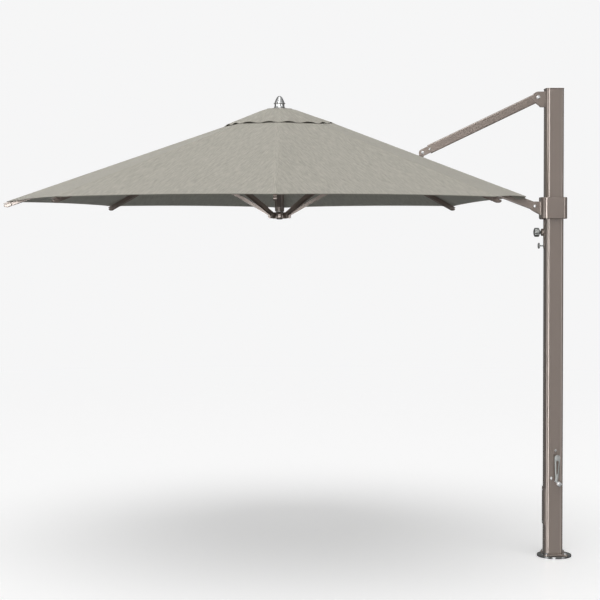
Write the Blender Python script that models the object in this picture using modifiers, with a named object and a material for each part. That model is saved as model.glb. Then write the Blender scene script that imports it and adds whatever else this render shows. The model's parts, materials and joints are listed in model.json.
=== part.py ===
"""Cantilever parasol: a side mast, a swinging boom and an octagonal canopy, open and ready for use.

Metres, +Z up. The origin is on the ground at the mast's axis, and the canopy reaches out towards -X.
The four-bar linkage is: mast, upper strut, boom and a collar that slides on the mast.
"""

import math

import bmesh
import bpy
from mathutils import Matrix, Vector

# ---------------------------------------------------------------- driving dimensions
GAP = 0.0003                     # between neighbours that touch on the real parasol
RUN_GAP = 0.001                  # each side, where one piece turns between two others
SEGMENTS = 16                    # sides of a round piece

# Base
BASE_X = 0.0105                  # the base and its swivel stand this far behind the mast's axis
PLATE_RADIUS = 0.110
PLATE_THICKNESS = 0.005
TURNTABLE_THICKNESS = 0.006
FLANGE_THICKNESS = 0.011
FOOT_BOLT_X, FOOT_BOLT_Y = 0.060, 0.068   # bolt centres, from the base's own axis
FOOT_LOBE_RADIUS = 0.016
SPIGOT_RADIUS = 0.030
SPIGOT_WALL = 0.004
SPIGOT_TOP = 0.300

# Mast
MAST_WIDTH = 0.116
MAST_CORNER = 0.024
MAST_WALL = 0.003
MAST_TOP = 2.9935
CAP_THICKNESS = 0.0045
CAP_OVERHANG = 0.002

# Linkage pivots in the plane Y = 0
UPPER_PIVOT = Vector((-0.1025, 0.0, 2.9434))      # strut to mast bracket
STRUT_PIVOT = Vector((-0.8400, 0.0, 2.5898))      # strut to boom lug
COLLAR_PIVOT = Vector((-0.1230, 0.0, 2.2470))     # boom to collar
ARM_DEPTH = 0.052                # boom, along its own vertical
STRUT_DEPTH = 0.058
ARM_WIDTH = 0.030                # boom and strut
ARM_WALL = 0.003
EAR_GAP = ARM_WIDTH + 2 * RUN_GAP
EAR_THICKNESS = 0.006

# Collar
COLLAR_BOTTOM, COLLAR_TOP = 2.167, 2.304
COLLAR_X_RANGE = (-0.0865, 0.080)
COLLAR_Y_HALF = 0.077
COLLAR_CORNER = 0.036
COLLAR_WALL = 0.005
COLLAR_CLEARANCE = 0.0025        # liner to mast, each side
LOCK_HEIGHT = 2.080
STOP_HEIGHT = 1.994

# Canopy frame, heights in the open position, radii from the canopy's axis
CANOPY_X = -1.755
RIB_COUNT = 8                    # the boom takes the place of rib 0
RIB_PIVOT_RADIUS = 0.075
RIB_PIVOT_HEIGHT = 2.828
BOOM_PIVOT_HEIGHT = 2.842
RIB_SLOPE = 0.3426
RIB_TIP_RADIUS = 1.765
RIB_DEPTH = 0.032
RIB_WIDTH = 0.020
RIB_WALL = 0.002
STAY_RADIUS = 0.750              # where a stay meets its rib
STAY_FOOT_RADIUS = 0.060         # where a stay meets the lower hub
STAY_FOOT_HEIGHT = 2.195
STAY_DEPTH = 0.022
STAY_WALL = 0.003
LOWER_HUB_BOTTOM, LOWER_HUB_TOP = 2.168, 2.208
TOP_HUB_BOTTOM, TOP_HUB_TOP = 2.8005, 2.858
TOP_HUB_RADIUS = 0.092
PIN_RADIUS = 0.004
TRIM_MARGIN = 0.0005             # keeps a tube's trim clear of its flat faces

# Fabric
FABRIC = 0.002
CANOPY_RADIUS = 1.745
CANOPY_BOOM_RADIUS = 1.575       # the corner over the boom stops short of the mast
CANOPY_RISE, CANOPY_SLOPE = 2.875, 0.343
BOOM_RISE, BOOM_SLOPE = 2.905, 0.3785
VENT_HOLE_RADIUS = 0.300
VENT_TOP_RADIUS = 0.077
VENT_TOP_HEIGHT = 2.876
VENT_RADIUS = 0.353
VENT_EDGE_HEIGHT = 2.765
VENT_BOOM_EDGE_HEIGHT = 2.785

# Crank
CRANK_AXIS = Vector((0.029, 0.0, 0.475))
KNUCKLE = Vector((0.006, 0.0, 0.496))
HANDLE_TOP = 0.663

# Lift cord, inside the mast
CORD_RADIUS = 0.003
DRUM_RADIUS = 0.0132             # nine turns of cord lower the collar by its travel of 0.915 m
SHEAVE_RADIUS = 0.0152           # eight turns for the same travel
SHEAVE_HEIGHT = 2.925

PALETTE = {
    "bronze_paint": ((0.230, 0.195, 0.172), 0.36, 0.35),
    "stainless": ((0.62, 0.61, 0.59), 0.22, 1.0),
    "zinc": ((0.30, 0.30, 0.29), 0.40, 0.9),
    "black_plastic": ((0.035, 0.035, 0.035), 0.50, 0.0),
    "cord": ((0.55, 0.54, 0.50), 0.85, 0.0),
    "canopy_fabric": ((0.40, 0.385, 0.345), 0.90, 0.0),
}

AXIS_X = Matrix.Rotation(math.radians(90.0), 4, "Y")      # local Z becomes +X
AXIS_MINUS_X = Matrix.Rotation(math.radians(-90.0), 4, "Y")
AXIS_MINUS_Y = Matrix.Rotation(math.radians(90.0), 4, "X")  # local Z becomes -Y, local Y becomes +Z


# ---------------------------------------------------------------- scene helpers
def clear_scene():
    for item in list(bpy.data.objects):
        bpy.data.objects.remove(item, do_unlink=True)


def make_collection(name):
    collection = bpy.data.collections.new(name)
    bpy.context.scene.collection.children.link(collection)
    return collection


def make_materials():
    materials = {}
    for name, (colour, roughness, metallic) in PALETTE.items():
        material = bpy.data.materials.new(name)
        material.use_nodes = True
        shader = material.node_tree.nodes["Principled BSDF"]
        shader.inputs["Base Color"].default_value = (*colour, 1.0)
        shader.inputs["Roughness"].default_value = roughness
        shader.inputs["Metallic"].default_value = metallic
        materials[name] = material
    return materials


clear_scene()
PARTS = make_collection("cantilever_parasol")
CUTTERS = make_collection("cutters")
MATERIALS = make_materials()


def add_object(name, data, material, place=Matrix.Identity(4)):
    """Link a mesh or curve as a finished part."""
    item = bpy.data.objects.new(name, data)
    PARTS.objects.link(item)
    if not data.materials:
        data.materials.append(MATERIALS[material])
    item.matrix_world = place
    return item


def add_cutter(name, data, place=Matrix.Identity(4)):
    item = bpy.data.objects.new(name, data)
    CUTTERS.objects.link(item)
    item.matrix_world = place
    item.hide_render = True
    item.display_type = "WIRE"
    return item


def combine(item, other, operation):
    """Add a Boolean modifier that keeps the exact solver."""
    modifier = item.modifiers.new(operation.lower() + "_" + other.name, "BOOLEAN")
    modifier.operation = operation
    modifier.solver = "EXACT"
    modifier.object = other


# ---------------------------------------------------------------- outlines
def arc(centre, radius, start_deg, end_deg, steps):
    """Points of an arc in the outline's plane, both ends included."""
    points = []
    for index in range(steps + 1):
        angle = math.radians(start_deg + (end_deg - start_deg) * index / steps)
        points.append((centre[0] + radius * math.cos(angle), centre[1] + radius * math.sin(angle)))
    return points


def circle(centre, radius, sides=SEGMENTS):
    return arc(centre, radius, 0.0, 360.0, sides)[:-1]


def rounded_rectangle(x_range, y_range, radius, steps=5):
    (x0, x1), (y0, y1) = x_range, y_range
    corners = [(x1 - radius, y1 - radius, 0), (x0 + radius, y1 - radius, 90),
               (x0 + radius, y0 + radius, 180), (x1 - radius, y0 + radius, 270)]
    points = []
    for x, y, start in corners:
        points += arc((x, y), radius, start, start + 90, steps)
    return points


def square_outline(width, radius, steps=5):
    half = width / 2
    return rounded_rectangle((-half, half), (-half, half), radius, steps)


def stadium(start_x, end_x, half_height, steps=8):
    """A bar's side view with a round nose at each end."""
    return (arc((end_x, 0), half_height, -90, 90, steps)
            + arc((start_x, 0), half_height, 90, 270, steps))


def slotted_outline(outer_radius, slot_floor, slot_width, count=RIB_COUNT):
    """A round body with radial slots that are open at the rim."""
    half = slot_width / 2
    rim = math.sqrt(outer_radius ** 2 - half ** 2)
    pitch = 360.0 / count
    slot_half_deg = math.degrees(math.asin(half / outer_radius))
    points = []
    for index in range(count):
        turn = Matrix.Rotation(2 * math.pi * index / count, 2)
        for x, y in ((rim, -half), (slot_floor, -half), (slot_floor, half), (rim, half)):
            points.append(tuple(turn @ Vector((x, y))))
        land = arc((0, 0), outer_radius, index * pitch + slot_half_deg,
                   (index + 1) * pitch - slot_half_deg, 4)
        points += land[1:-1]
    return points


# ---------------------------------------------------------------- solids
def outline_curve(name, outlines, thickness):
    """A flat outline, with holes, extruded evenly to both sides of its plane."""
    curve = bpy.data.curves.new(name, "CURVE")
    curve.dimensions = "2D"
    curve.fill_mode = "BOTH"
    curve.extrude = thickness / 2
    for outline in outlines:
        spline = curve.splines.new("POLY")
        spline.points.add(len(outline) - 1)
        for point, (x, y) in zip(spline.points, outline):
            point.co = (x, y, 0.0, 1.0)
        spline.use_cyclic_u = True
    return curve


def outline_mesh(name, outlines, thickness):
    """The same solid as a mesh, for a Boolean."""
    holder = bpy.data.objects.new(name + "_curve", outline_curve(name + "_curve", outlines, thickness))
    CUTTERS.objects.link(holder)
    bpy.context.view_layer.update()
    evaluated = holder.evaluated_get(bpy.context.evaluated_depsgraph_get())
    mesh = bpy.data.meshes.new_from_object(evaluated)
    mesh.name = name
    bpy.data.objects.remove(holder, do_unlink=True)
    shell = bmesh.new()
    shell.from_mesh(mesh)
    bmesh.ops.remove_doubles(shell, verts=shell.verts, dist=0.00001)
    bmesh.ops.recalc_face_normals(shell, faces=shell.faces)
    shell.to_mesh(mesh)
    shell.free()
    return mesh


def add_plate(name, outlines, thickness, material, place):
    return add_object(name, outline_mesh(name, outlines, thickness), material, place)


def box_mesh(name, size):
    mesh = bpy.data.meshes.new(name)
    shell = bmesh.new()
    bmesh.ops.create_cube(shell, size=1.0)
    bmesh.ops.scale(shell, vec=size, verts=shell.verts)
    shell.to_mesh(mesh)
    shell.free()
    return mesh


def cylinder_mesh(name, radius, length, sides=SEGMENTS):
    mesh = bpy.data.meshes.new(name)
    shell = bmesh.new()
    bmesh.ops.create_cone(shell, cap_ends=True, segments=sides, radius1=radius, radius2=radius, depth=length)
    shell.to_mesh(mesh)
    shell.free()
    return mesh


def add_turned(name, profile, material, place, sides=SEGMENTS):
    """Turn a profile of (radius, height) points, listed from the top down the outer side."""
    mesh = bpy.data.meshes.new(name)
    points = [(radius, 0.0, height) for radius, height in profile]
    closed = profile[0][0] > 0.0
    edges = [(index, index + 1) for index in range(len(points) - 1)]
    if closed:
        edges.append((len(points) - 1, 0))
    mesh.from_pydata(points, edges, [])
    item = add_object(name, mesh, material, place)
    screw = item.modifiers.new("turn", "SCREW")
    screw.steps = sides
    screw.render_steps = sides
    screw.use_merge_vertices = True
    screw.merge_threshold = 0.0001
    screw.use_smooth_shade = True
    return item


def tube_profile(outer, inner, bottom, top):
    return [(inner, top), (outer, top), (outer, bottom), (inner, bottom)]


def add_tube(name, outer, inner, bottom, top, material, centre=(0.0, 0.0)):
    place = Matrix.Translation((centre[0], centre[1], 0.0))
    return add_turned(name, tube_profile(outer, inner, bottom, top), material, place)


def bolt_profile(shaft_radius, length, head_radius, head_height):
    """A bolt with a domed head at each end, such as a shoulder screw and its cap nut."""
    half = length / 2
    inset = head_radius * 0.35
    return [(0.0, half + head_height), (head_radius - inset, half + head_height),
            (head_radius, half + head_height * 0.5), (head_radius, half), (shaft_radius, half),
            (shaft_radius, -half), (head_radius, -half), (head_radius, -half - head_height * 0.5),
            (head_radius - inset, -half - head_height), (0.0, -half - head_height)]


def along(start, end, side=Vector((0.0, 1.0, 0.0))):
    """A placement whose local X runs from start to end, and whose local Z is `side`."""
    x_axis = (end - start).normalized()
    z_axis = side.normalized()
    y_axis = z_axis.cross(x_axis).normalized()
    rotation = Matrix((x_axis, y_axis, z_axis)).transposed().to_4x4()
    return Matrix.Translation(start) @ rotation


def channel_bar(name, section, side_view, length, width):
    """A bar along local X: a cross-section swept along the bar, trimmed to a side view with holes.

    The section's own X is the bar's width (local Z) and its own Y is the bar's depth (local Y).
    """
    sweep = outline_mesh(name + "_section", section, length)
    turn = Matrix(((0, 0, 1, length / 2), (0, 1, 0, 0), (-1, 0, 0, 0), (0, 0, 0, 1)))
    sweep.transform(turn)
    bar = add_cutter(name + "_sweep", sweep)
    trim = add_cutter(name + "_trim", outline_mesh(name + "_trim", side_view, width + 0.01))
    combine(bar, trim, "INTERSECT")
    bpy.context.view_layer.update()
    mesh = bpy.data.meshes.new_from_object(bar.evaluated_get(bpy.context.evaluated_depsgraph_get()))
    mesh.name = name
    bpy.data.objects.remove(bar, do_unlink=True)
    bpy.data.objects.remove(trim, do_unlink=True)
    return mesh


def rectangle_tube(width, depth, wall, radius):
    outer = rounded_rectangle((-width / 2, width / 2), (-depth / 2, depth / 2), radius, 2)
    inner = rounded_rectangle((-width / 2 + wall, width / 2 - wall), (-depth / 2 + wall, depth / 2 - wall),
                              max(radius - wall, 0.001), 1)
    return [outer, inner]


# ---------------------------------------------------------------- base and swivel
def build_base():
    stand = Matrix.Translation((BASE_X, 0, 0))
    add_turned("base_plate", [(0.0, PLATE_THICKNESS), (PLATE_RADIUS - 0.001, PLATE_THICKNESS),
                              (PLATE_RADIUS, PLATE_THICKNESS - 0.001), (PLATE_RADIUS, 0.0), (0.0, 0.0)],
               "stainless", stand, sides=32)
    add_tube("swivel_spigot", SPIGOT_RADIUS, SPIGOT_RADIUS - SPIGOT_WALL, PLATE_THICKNESS + GAP,
             SPIGOT_TOP, "stainless", (BASE_X, 0.0))

    table_bottom = PLATE_THICKNESS + 0.0005
    table_top = table_bottom + TURNTABLE_THICKNESS
    bore = SPIGOT_RADIUS + RUN_GAP
    add_turned("turntable", [(bore, table_top), (PLATE_RADIUS - 0.0015, table_top),
                             (PLATE_RADIUS, table_top - 0.0015), (PLATE_RADIUS, table_bottom),
                             (bore, table_bottom)], "stainless", stand, sides=32)

    flange_bottom = table_top + GAP
    spots = [(FOOT_BOLT_X, FOOT_BOLT_Y), (-FOOT_BOLT_X, FOOT_BOLT_Y), (-FOOT_BOLT_X, -FOOT_BOLT_Y),
             (FOOT_BOLT_X, -FOOT_BOLT_Y)]
    lobes = []
    for quadrant, spot in enumerate(spots):
        middle = 45 + 90 * quadrant
        lobes += arc(spot, FOOT_LOBE_RADIUS, middle - 105, middle + 105, 8)
    flange_z = flange_bottom + FLANGE_THICKNESS / 2
    flange = add_plate("foot_flange", [lobes, circle((0, 0), bore)], FLANGE_THICKNESS, "bronze_paint",
                       Matrix.Translation((BASE_X, 0, flange_z)))
    drill = cylinder_mesh("foot_bolt_drill", 0.0063, 0.05, 12)
    for quadrant, (x, y) in enumerate(spots):
        spot = Vector((x, y, 0.0))
        combine(flange, add_cutter(f"foot_drill_{quadrant + 1}", drill,
                                   Matrix.Translation(spot + Vector((BASE_X, 0, flange_z)))), "DIFFERENCE")
        head_bottom = flange_bottom + FLANGE_THICKNESS + GAP
        add_turned(f"foot_bolt_{quadrant + 1}",
                   [(0.0, head_bottom + 0.007), (0.0065, head_bottom + 0.007), (0.0095, head_bottom + 0.004),
                    (0.0095, head_bottom), (0.006, head_bottom), (0.006, table_top + GAP),
                    (0.0, table_top + GAP)], "stainless", stand @ Matrix.Translation(spot), sides=12)
    return flange_bottom + FLANGE_THICKNESS + GAP


# ---------------------------------------------------------------- mast
def build_mast(bottom):
    height = MAST_TOP - bottom
    middle = (MAST_TOP + bottom) / 2
    mast = add_plate("mast", [square_outline(MAST_WIDTH, MAST_CORNER),
                              square_outline(MAST_WIDTH - 2 * MAST_WALL, MAST_CORNER - MAST_WALL)],
                     height, "bronze_paint", Matrix.Translation((0, 0, middle)))
    slot_bottom, slot_top = 1.285, 2.260
    slot_x = CRANK_AXIS.x - DRUM_RADIUS - CORD_RADIUS - GAP
    combine(mast, add_cutter("cord_slot", box_mesh("cord_slot", (0.014, 0.02, slot_top - slot_bottom)),
                             Matrix.Translation((slot_x, MAST_WIDTH / 2, (slot_top + slot_bottom) / 2))),
            "DIFFERENCE")
    shaft_hole = cylinder_mesh("shaft_hole", 0.0093, 0.02, 16)
    combine(mast, add_cutter("crank_shaft_hole", shaft_hole,
                             Matrix.Translation((CRANK_AXIS.x, -MAST_WIDTH / 2, CRANK_AXIS.z)) @ AXIS_MINUS_Y),
            "DIFFERENCE")

    add_plate("mast_cap", [square_outline(MAST_WIDTH + 2 * CAP_OVERHANG, MAST_CORNER + CAP_OVERHANG)],
              CAP_THICKNESS, "bronze_paint",
              Matrix.Translation((0, 0, MAST_TOP + GAP + CAP_THICKNESS / 2)))

    inside = MAST_WIDTH - 2 * MAST_WALL - 2 * GAP
    add_plate("swivel_bush", [square_outline(inside, MAST_CORNER - MAST_WALL - GAP),
                              circle((BASE_X, 0), SPIGOT_RADIUS + RUN_GAP)],
              0.040, "black_plastic", Matrix.Translation((0, 0, SPIGOT_TOP - 0.030)))

    cover_bottom, cover_top = 0.2055, 0.4425
    wrap = []
    for radius, reach in ((MAST_CORNER + GAP, 42.0), (MAST_CORNER + GAP + 0.005, 38.0)):
        side = arc((MAST_CORNER - MAST_WIDTH / 2, MAST_WIDTH / 2 - MAST_CORNER), radius, 180.0, 180.0 - reach, 5)
        half_way = [(x, -y) for x, y in reversed(side)] + side
        wrap += half_way if radius == MAST_CORNER + GAP else reversed(half_way)
    add_plate("access_cover", [wrap], cover_top - cover_bottom, "bronze_paint",
              Matrix.Translation((0, 0, (cover_bottom + cover_top) / 2)))


def bracket_side_view(pivot, nose_radius, root_x, top, knee, bottom):
    """An ear with a round nose, a flat top and a slanted underside, in X and Z."""
    reach = Vector((knee[0] - pivot.x, knee[1] - pivot.z))
    tangent = math.degrees(math.atan2(reach.y, reach.x)) - math.degrees(math.acos(nose_radius / reach.length))
    nose = arc((pivot.x, pivot.z), nose_radius, 90.0, 360.0 + tangent, 9)
    return [(root_x, top), *nose, knee, (root_x, bottom)]


def bracket_mesh(name, side_view, pivot, x_range, web):
    """Two ears joined by a web: a U in plan, trimmed to the ears' side view and drilled."""
    outer = EAR_GAP / 2 + EAR_THICKNESS
    x0, x1 = x_range
    plan = [(x1, outer), (x0, outer), (x0, EAR_GAP / 2), (x1 - web, EAR_GAP / 2),
            (x1 - web, -EAR_GAP / 2), (x0, -EAR_GAP / 2), (x0, -outer), (x1, -outer)]
    heights = [height for _, height in side_view]
    middle = (min(heights) + max(heights)) / 2
    blank = outline_mesh(name + "_plan", [plan], max(heights) - min(heights) + 0.02)
    blank.transform(Matrix.Translation((0, 0, middle)))
    body = add_cutter(name + "_blank", blank)
    hole = circle((pivot.x, pivot.z), PIN_RADIUS * 1.5 + 2 * GAP, 12)
    side = outline_mesh(name + "_side", [side_view, hole], 2 * outer + 0.01)
    trim = add_cutter(name + "_trim", side, AXIS_MINUS_Y)
    combine(body, trim, "INTERSECT")
    bpy.context.view_layer.update()
    mesh = bpy.data.meshes.new_from_object(body.evaluated_get(bpy.context.evaluated_depsgraph_get()))
    mesh.name = name
    bpy.data.objects.remove(body, do_unlink=True)
    bpy.data.objects.remove(trim, do_unlink=True)
    return mesh


def build_upper_bracket():
    root = -MAST_WIDTH / 2 - GAP
    nose = 0.0350
    side = bracket_side_view(UPPER_PIVOT, nose, root, UPPER_PIVOT.z + nose, (-0.084, 2.881), 2.881)
    add_object("upper_bracket", bracket_mesh("upper_bracket", side, UPPER_PIVOT,
                                             (UPPER_PIVOT.x - nose - 0.01, root), 0.006), "bronze_paint")
    length = EAR_GAP + 2 * EAR_THICKNESS + 2 * GAP
    add_turned("upper_pivot_bolt", bolt_profile(PIN_RADIUS * 1.5, length, 0.0115, 0.006), "stainless",
               Matrix.Translation(UPPER_PIVOT) @ AXIS_MINUS_Y)


# ---------------------------------------------------------------- crank and lift cord
def build_crank():
    face = -MAST_WIDTH / 2
    boss_depth = 0.010
    add_turned("crank_boss", tube_profile(0.021, 0.0095, 0.0, boss_depth), "bronze_paint",
               Matrix.Translation((CRANK_AXIS.x, face - GAP, CRANK_AXIS.z)) @ AXIS_MINUS_Y)

    shaft_end = face + 0.012
    head_start = face - boss_depth - 2 * GAP
    shaft = add_turned(
        "crank_shaft",
        [(0.0, 0.022), (0.010, 0.022), (0.015, 0.018), (0.015, 0.0), (0.0085, 0.0), (0.0085, -0.022), (0.0, -0.022)],
        "stainless", Matrix.Translation((CRANK_AXIS.x, head_start, CRANK_AXIS.z)) @ AXIS_MINUS_Y)
    arm_start = Vector((CRANK_AXIS.x, head_start - 0.012, CRANK_AXIS.z))
    arm_end = Vector((KNUCKLE.x, head_start - 0.012, KNUCKLE.z))
    arm = outline_mesh("crank_arm", [stadium(0.0, (arm_end - arm_start).length, 0.0075)], 0.010)
    combine(shaft, add_cutter("crank_arm", arm, along(arm_start, arm_end)), "UNION")

    handle_y = head_start - 0.0142
    handle_bottom = KNUCKLE.z - 0.008
    grip_centre = 0.014
    grip = (arc((grip_centre, HANDLE_TOP - 0.0185), 0.0185, 0, 180, 8)
            + arc((KNUCKLE.x + 0.003, handle_bottom + 0.009), 0.0085, 180, 360, 6))
    hole = (arc((grip_centre + 0.001, HANDLE_TOP - 0.045), 0.0075, 0, 180, 5)
            + arc((grip_centre - 0.002, 0.545), 0.004, 180, 360, 4))
    add_plate("crank_handle", [grip, hole], 0.010, "zinc",
              Matrix.Translation((0, handle_y - 0.010 - 2 * GAP, 0)) @ AXIS_MINUS_Y)

    add_turned("handle_catch", [(0.0, 0.008), (0.006, 0.008), (0.009, 0.005), (0.009, 0.0), (0.0, 0.0)],
               "stainless", Matrix.Translation((0.007, face - GAP, 0.686)) @ AXIS_MINUS_Y, sides=14)

    drum_start = shaft_end + GAP
    drum_length = 0.052
    flange = DRUM_RADIUS + 0.0045
    add_turned("winch_drum",
               [(0.0, 0.0), (flange, 0.0), (flange, -0.003), (DRUM_RADIUS, -0.003),
                (DRUM_RADIUS, -drum_length + 0.003), (flange, -drum_length + 0.003),
                (flange, -drum_length), (0.0, -drum_length)],
               "zinc", Matrix.Translation((CRANK_AXIS.x, drum_start, CRANK_AXIS.z)) @ AXIS_MINUS_Y)


def build_lift_cord():
    up_x = CRANK_AXIS.x - DRUM_RADIUS - CORD_RADIUS - GAP
    rim = SHEAVE_RADIUS + CORD_RADIUS
    flange = rim + 0.003
    add_turned("cord_sheave",
               [(0.005, 0.006), (flange, 0.006), (flange, 0.0045), (SHEAVE_RADIUS - GAP, 0.0038),
                (SHEAVE_RADIUS - GAP, -0.0038), (flange, -0.0045), (flange, -0.006), (0.005, -0.006)],
               "zinc", Matrix.Translation((up_x, 0, SHEAVE_HEIGHT)) @ AXIS_X)
    inside = MAST_WIDTH / 2 - MAST_WALL - GAP
    add_turned("sheave_axle", [(0.0, inside), (0.0045, inside), (0.0045, -inside), (0.0, -inside)],
               "stainless", Matrix.Translation((0, 0, SHEAVE_HEIGHT)) @ AXIS_X, sides=12)

    def cord(name, points):
        curve = bpy.data.curves.new(name, "CURVE")
        curve.dimensions = "3D"
        curve.bevel_depth = CORD_RADIUS
        curve.bevel_resolution = 1
        curve.use_fill_caps = True
        spline = curve.splines.new("POLY")
        spline.points.add(len(points) - 1)
        for point, place in zip(spline.points, points):
            point.co = (*place, 1.0)
        add_object(name, curve, "cord")

    over = [(up_x, rim * x, SHEAVE_HEIGHT + rim * z) for x, z in arc((0, 0), 1.0, 180, 0, 10)]
    cord("lift_cord", [(up_x, -rim, CRANK_AXIS.z + 0.004), *over])
    cord("lift_cord_fall", [(up_x, rim, SHEAVE_HEIGHT - 2 * GAP), (up_x, rim, 2.2255)])


# ---------------------------------------------------------------- collar and lock
def build_collar():
    middle = (COLLAR_BOTTOM + COLLAR_TOP) / 2
    height = COLLAR_TOP - COLLAR_BOTTOM
    x0, x1 = COLLAR_X_RANGE
    outer = rounded_rectangle(COLLAR_X_RANGE, (-COLLAR_Y_HALF, COLLAR_Y_HALF), COLLAR_CORNER)
    inner_x = (x0 + COLLAR_WALL, x1 - COLLAR_WALL)
    inner_y = (-COLLAR_Y_HALF + COLLAR_WALL, COLLAR_Y_HALF - COLLAR_WALL)
    inner = rounded_rectangle(inner_x, inner_y, COLLAR_CORNER - COLLAR_WALL)
    add_plate("collar", [outer, inner], height, "bronze_paint", Matrix.Translation((0, 0, middle)))

    liner_outer = rounded_rectangle((inner_x[0] + GAP, inner_x[1] - GAP), (inner_y[0] + GAP, inner_y[1] - GAP),
                                    COLLAR_CORNER - COLLAR_WALL - GAP)
    bore = square_outline(MAST_WIDTH + 2 * COLLAR_CLEARANCE, MAST_CORNER + COLLAR_CLEARANCE)
    add_plate("collar_liner", [liner_outer, bore], height - 0.006, "black_plastic",
              Matrix.Translation((0, 0, middle)))

    root = x0 - GAP
    nose = 0.030
    web = 0.006
    side = bracket_side_view(COLLAR_PIVOT, nose, root, COLLAR_PIVOT.z + nose, (root - web, 2.196), 2.193)
    add_object("collar_bracket", bracket_mesh("collar_bracket", side, COLLAR_PIVOT,
                                              (COLLAR_PIVOT.x - nose - 0.01, root), web), "bronze_paint")
    length = EAR_GAP + 2 * EAR_THICKNESS + 2 * GAP
    add_turned("collar_pivot_bolt", bolt_profile(PIN_RADIUS * 1.5, length, 0.009, 0.005), "stainless",
               Matrix.Translation(COLLAR_PIVOT) @ AXIS_MINUS_Y)

    anchor_x = CRANK_AXIS.x - DRUM_RADIUS - CORD_RADIUS - GAP
    anchor_start, anchor_end = 0.0130, COLLAR_Y_HALF - COLLAR_WALL - 0.004
    half = (anchor_end - anchor_start) / 2
    anchor = add_turned("cord_anchor", [(0.0, half), (0.004, half), (0.004, -half), (0.0, -half)], "stainless",
                        Matrix.Translation((anchor_x, anchor_start + half, 2.220)) @ AXIS_MINUS_Y, sides=12)
    pocket = cylinder_mesh("anchor_pocket", 0.004 + GAP, 0.03, 12)
    liner = bpy.data.objects["collar_liner"]
    combine(liner, add_cutter("anchor_pocket", pocket,
                              Matrix.Translation((anchor_x, COLLAR_Y_HALF - COLLAR_WALL - 0.0185, 2.220))
                              @ AXIS_MINUS_Y), "DIFFERENCE")
    return anchor


def build_lock():
    strap_face = -MAST_WIDTH / 2 - 0.0018
    strap_back = strap_face - 0.004
    strap_top = COLLAR_BOTTOM - GAP
    strap_bottom = STOP_HEIGHT - 0.020
    side = [(strap_face, strap_top), (strap_face - 0.026, strap_top), (strap_face - 0.026, strap_top - 0.004),
            (strap_back, strap_top - 0.004), (strap_back, strap_bottom), (strap_face, strap_bottom)]
    strap = add_plate("lock_strap", [side], 0.028, "bronze_paint", AXIS_MINUS_Y)
    boss = cylinder_mesh("lock_boss", 0.0235, 0.018)
    combine(strap, add_cutter("lock_boss", boss,
                              Matrix.Translation((strap_back - 0.0075, 0, LOCK_HEIGHT)) @ AXIS_X), "UNION")
    boss_end = strap_back - 0.0165
    drill = cylinder_mesh("lock_drill", 0.0080, 0.05, 16)
    combine(strap, add_cutter("lock_drill", drill,
                              Matrix.Translation((strap_back, 0, LOCK_HEIGHT)) @ AXIS_X), "DIFFERENCE")
    pin_drill = cylinder_mesh("stop_drill", 0.0045, 0.05, 12)
    combine(strap, add_cutter("stop_drill", pin_drill,
                              Matrix.Translation((strap_back, 0, STOP_HEIGHT)) @ AXIS_X), "DIFFERENCE")

    knob_start = boss_end - 0.008
    reach = knob_start - strap_back
    add_turned("lock_knob",
               [(0.0, 0.0395), (0.018, 0.0395), (0.026, 0.036), (0.029, 0.029), (0.029, 0.010),
                (0.026, 0.003), (0.018, 0.0), (0.0075, 0.0), (0.0075, reach), (0.0, reach)],
               "zinc", Matrix.Translation((knob_start, 0, LOCK_HEIGHT)) @ AXIS_MINUS_X)
    disc_start = -0.088
    add_turned("stop_pin",
               [(0.0, 0.012), (0.015, 0.012), (0.0185, 0.009), (0.0185, 0.002), (0.016, 0.0),
                (0.004, 0.0), (0.004, disc_start - strap_face + GAP), (0.0, disc_start - strap_face + GAP)],
               "zinc", Matrix.Translation((disc_start, 0, STOP_HEIGHT)) @ AXIS_MINUS_X)


# ---------------------------------------------------------------- strut and boom
def arm_ends():
    hub_end = Vector((CANOPY_X + RIB_PIVOT_RADIUS, 0.0, BOOM_PIVOT_HEIGHT))
    return COLLAR_PIVOT, hub_end


def build_strut():
    start, end = UPPER_PIVOT, STRUT_PIVOT
    length = (end - start).length
    half = STRUT_DEPTH / 2 + TRIM_MARGIN
    fork_half = ARM_DEPTH / 2 - ARM_WALL - TRIM_MARGIN
    fork_start = length - 0.048
    side = (arc((length, 0), fork_half, -90, 90, 8) + [(fork_start, fork_half), (fork_start, half)]
            + arc((0, 0), half, 90, 270, 8) + [(fork_start, -half), (fork_start, -fork_half)])
    holes = [circle((x, 0), PIN_RADIUS * 1.5 + 2 * GAP, 12) for x in (0.0, length)]
    sweep_length = length + 2 * half + 0.02
    mesh = channel_bar("upper_strut", rectangle_tube(ARM_WIDTH, STRUT_DEPTH, ARM_WALL, 0.006),
                       [shift_outline(part, half + 0.01) for part in [side, *holes]], sweep_length, ARM_WIDTH)
    mesh.transform(Matrix.Translation((-half - 0.01, 0, 0)))
    add_object("upper_strut", mesh, "bronze_paint", along(start, end))
    bolt_length = ARM_WIDTH + 2 * GAP
    add_turned("strut_pivot_bolt", bolt_profile(PIN_RADIUS * 1.5, bolt_length, 0.010, 0.005), "stainless",
               Matrix.Translation(end) @ AXIS_MINUS_Y)


def shift_outline(outline, distance):
    return [(x + distance, y) for x, y in outline]


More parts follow.
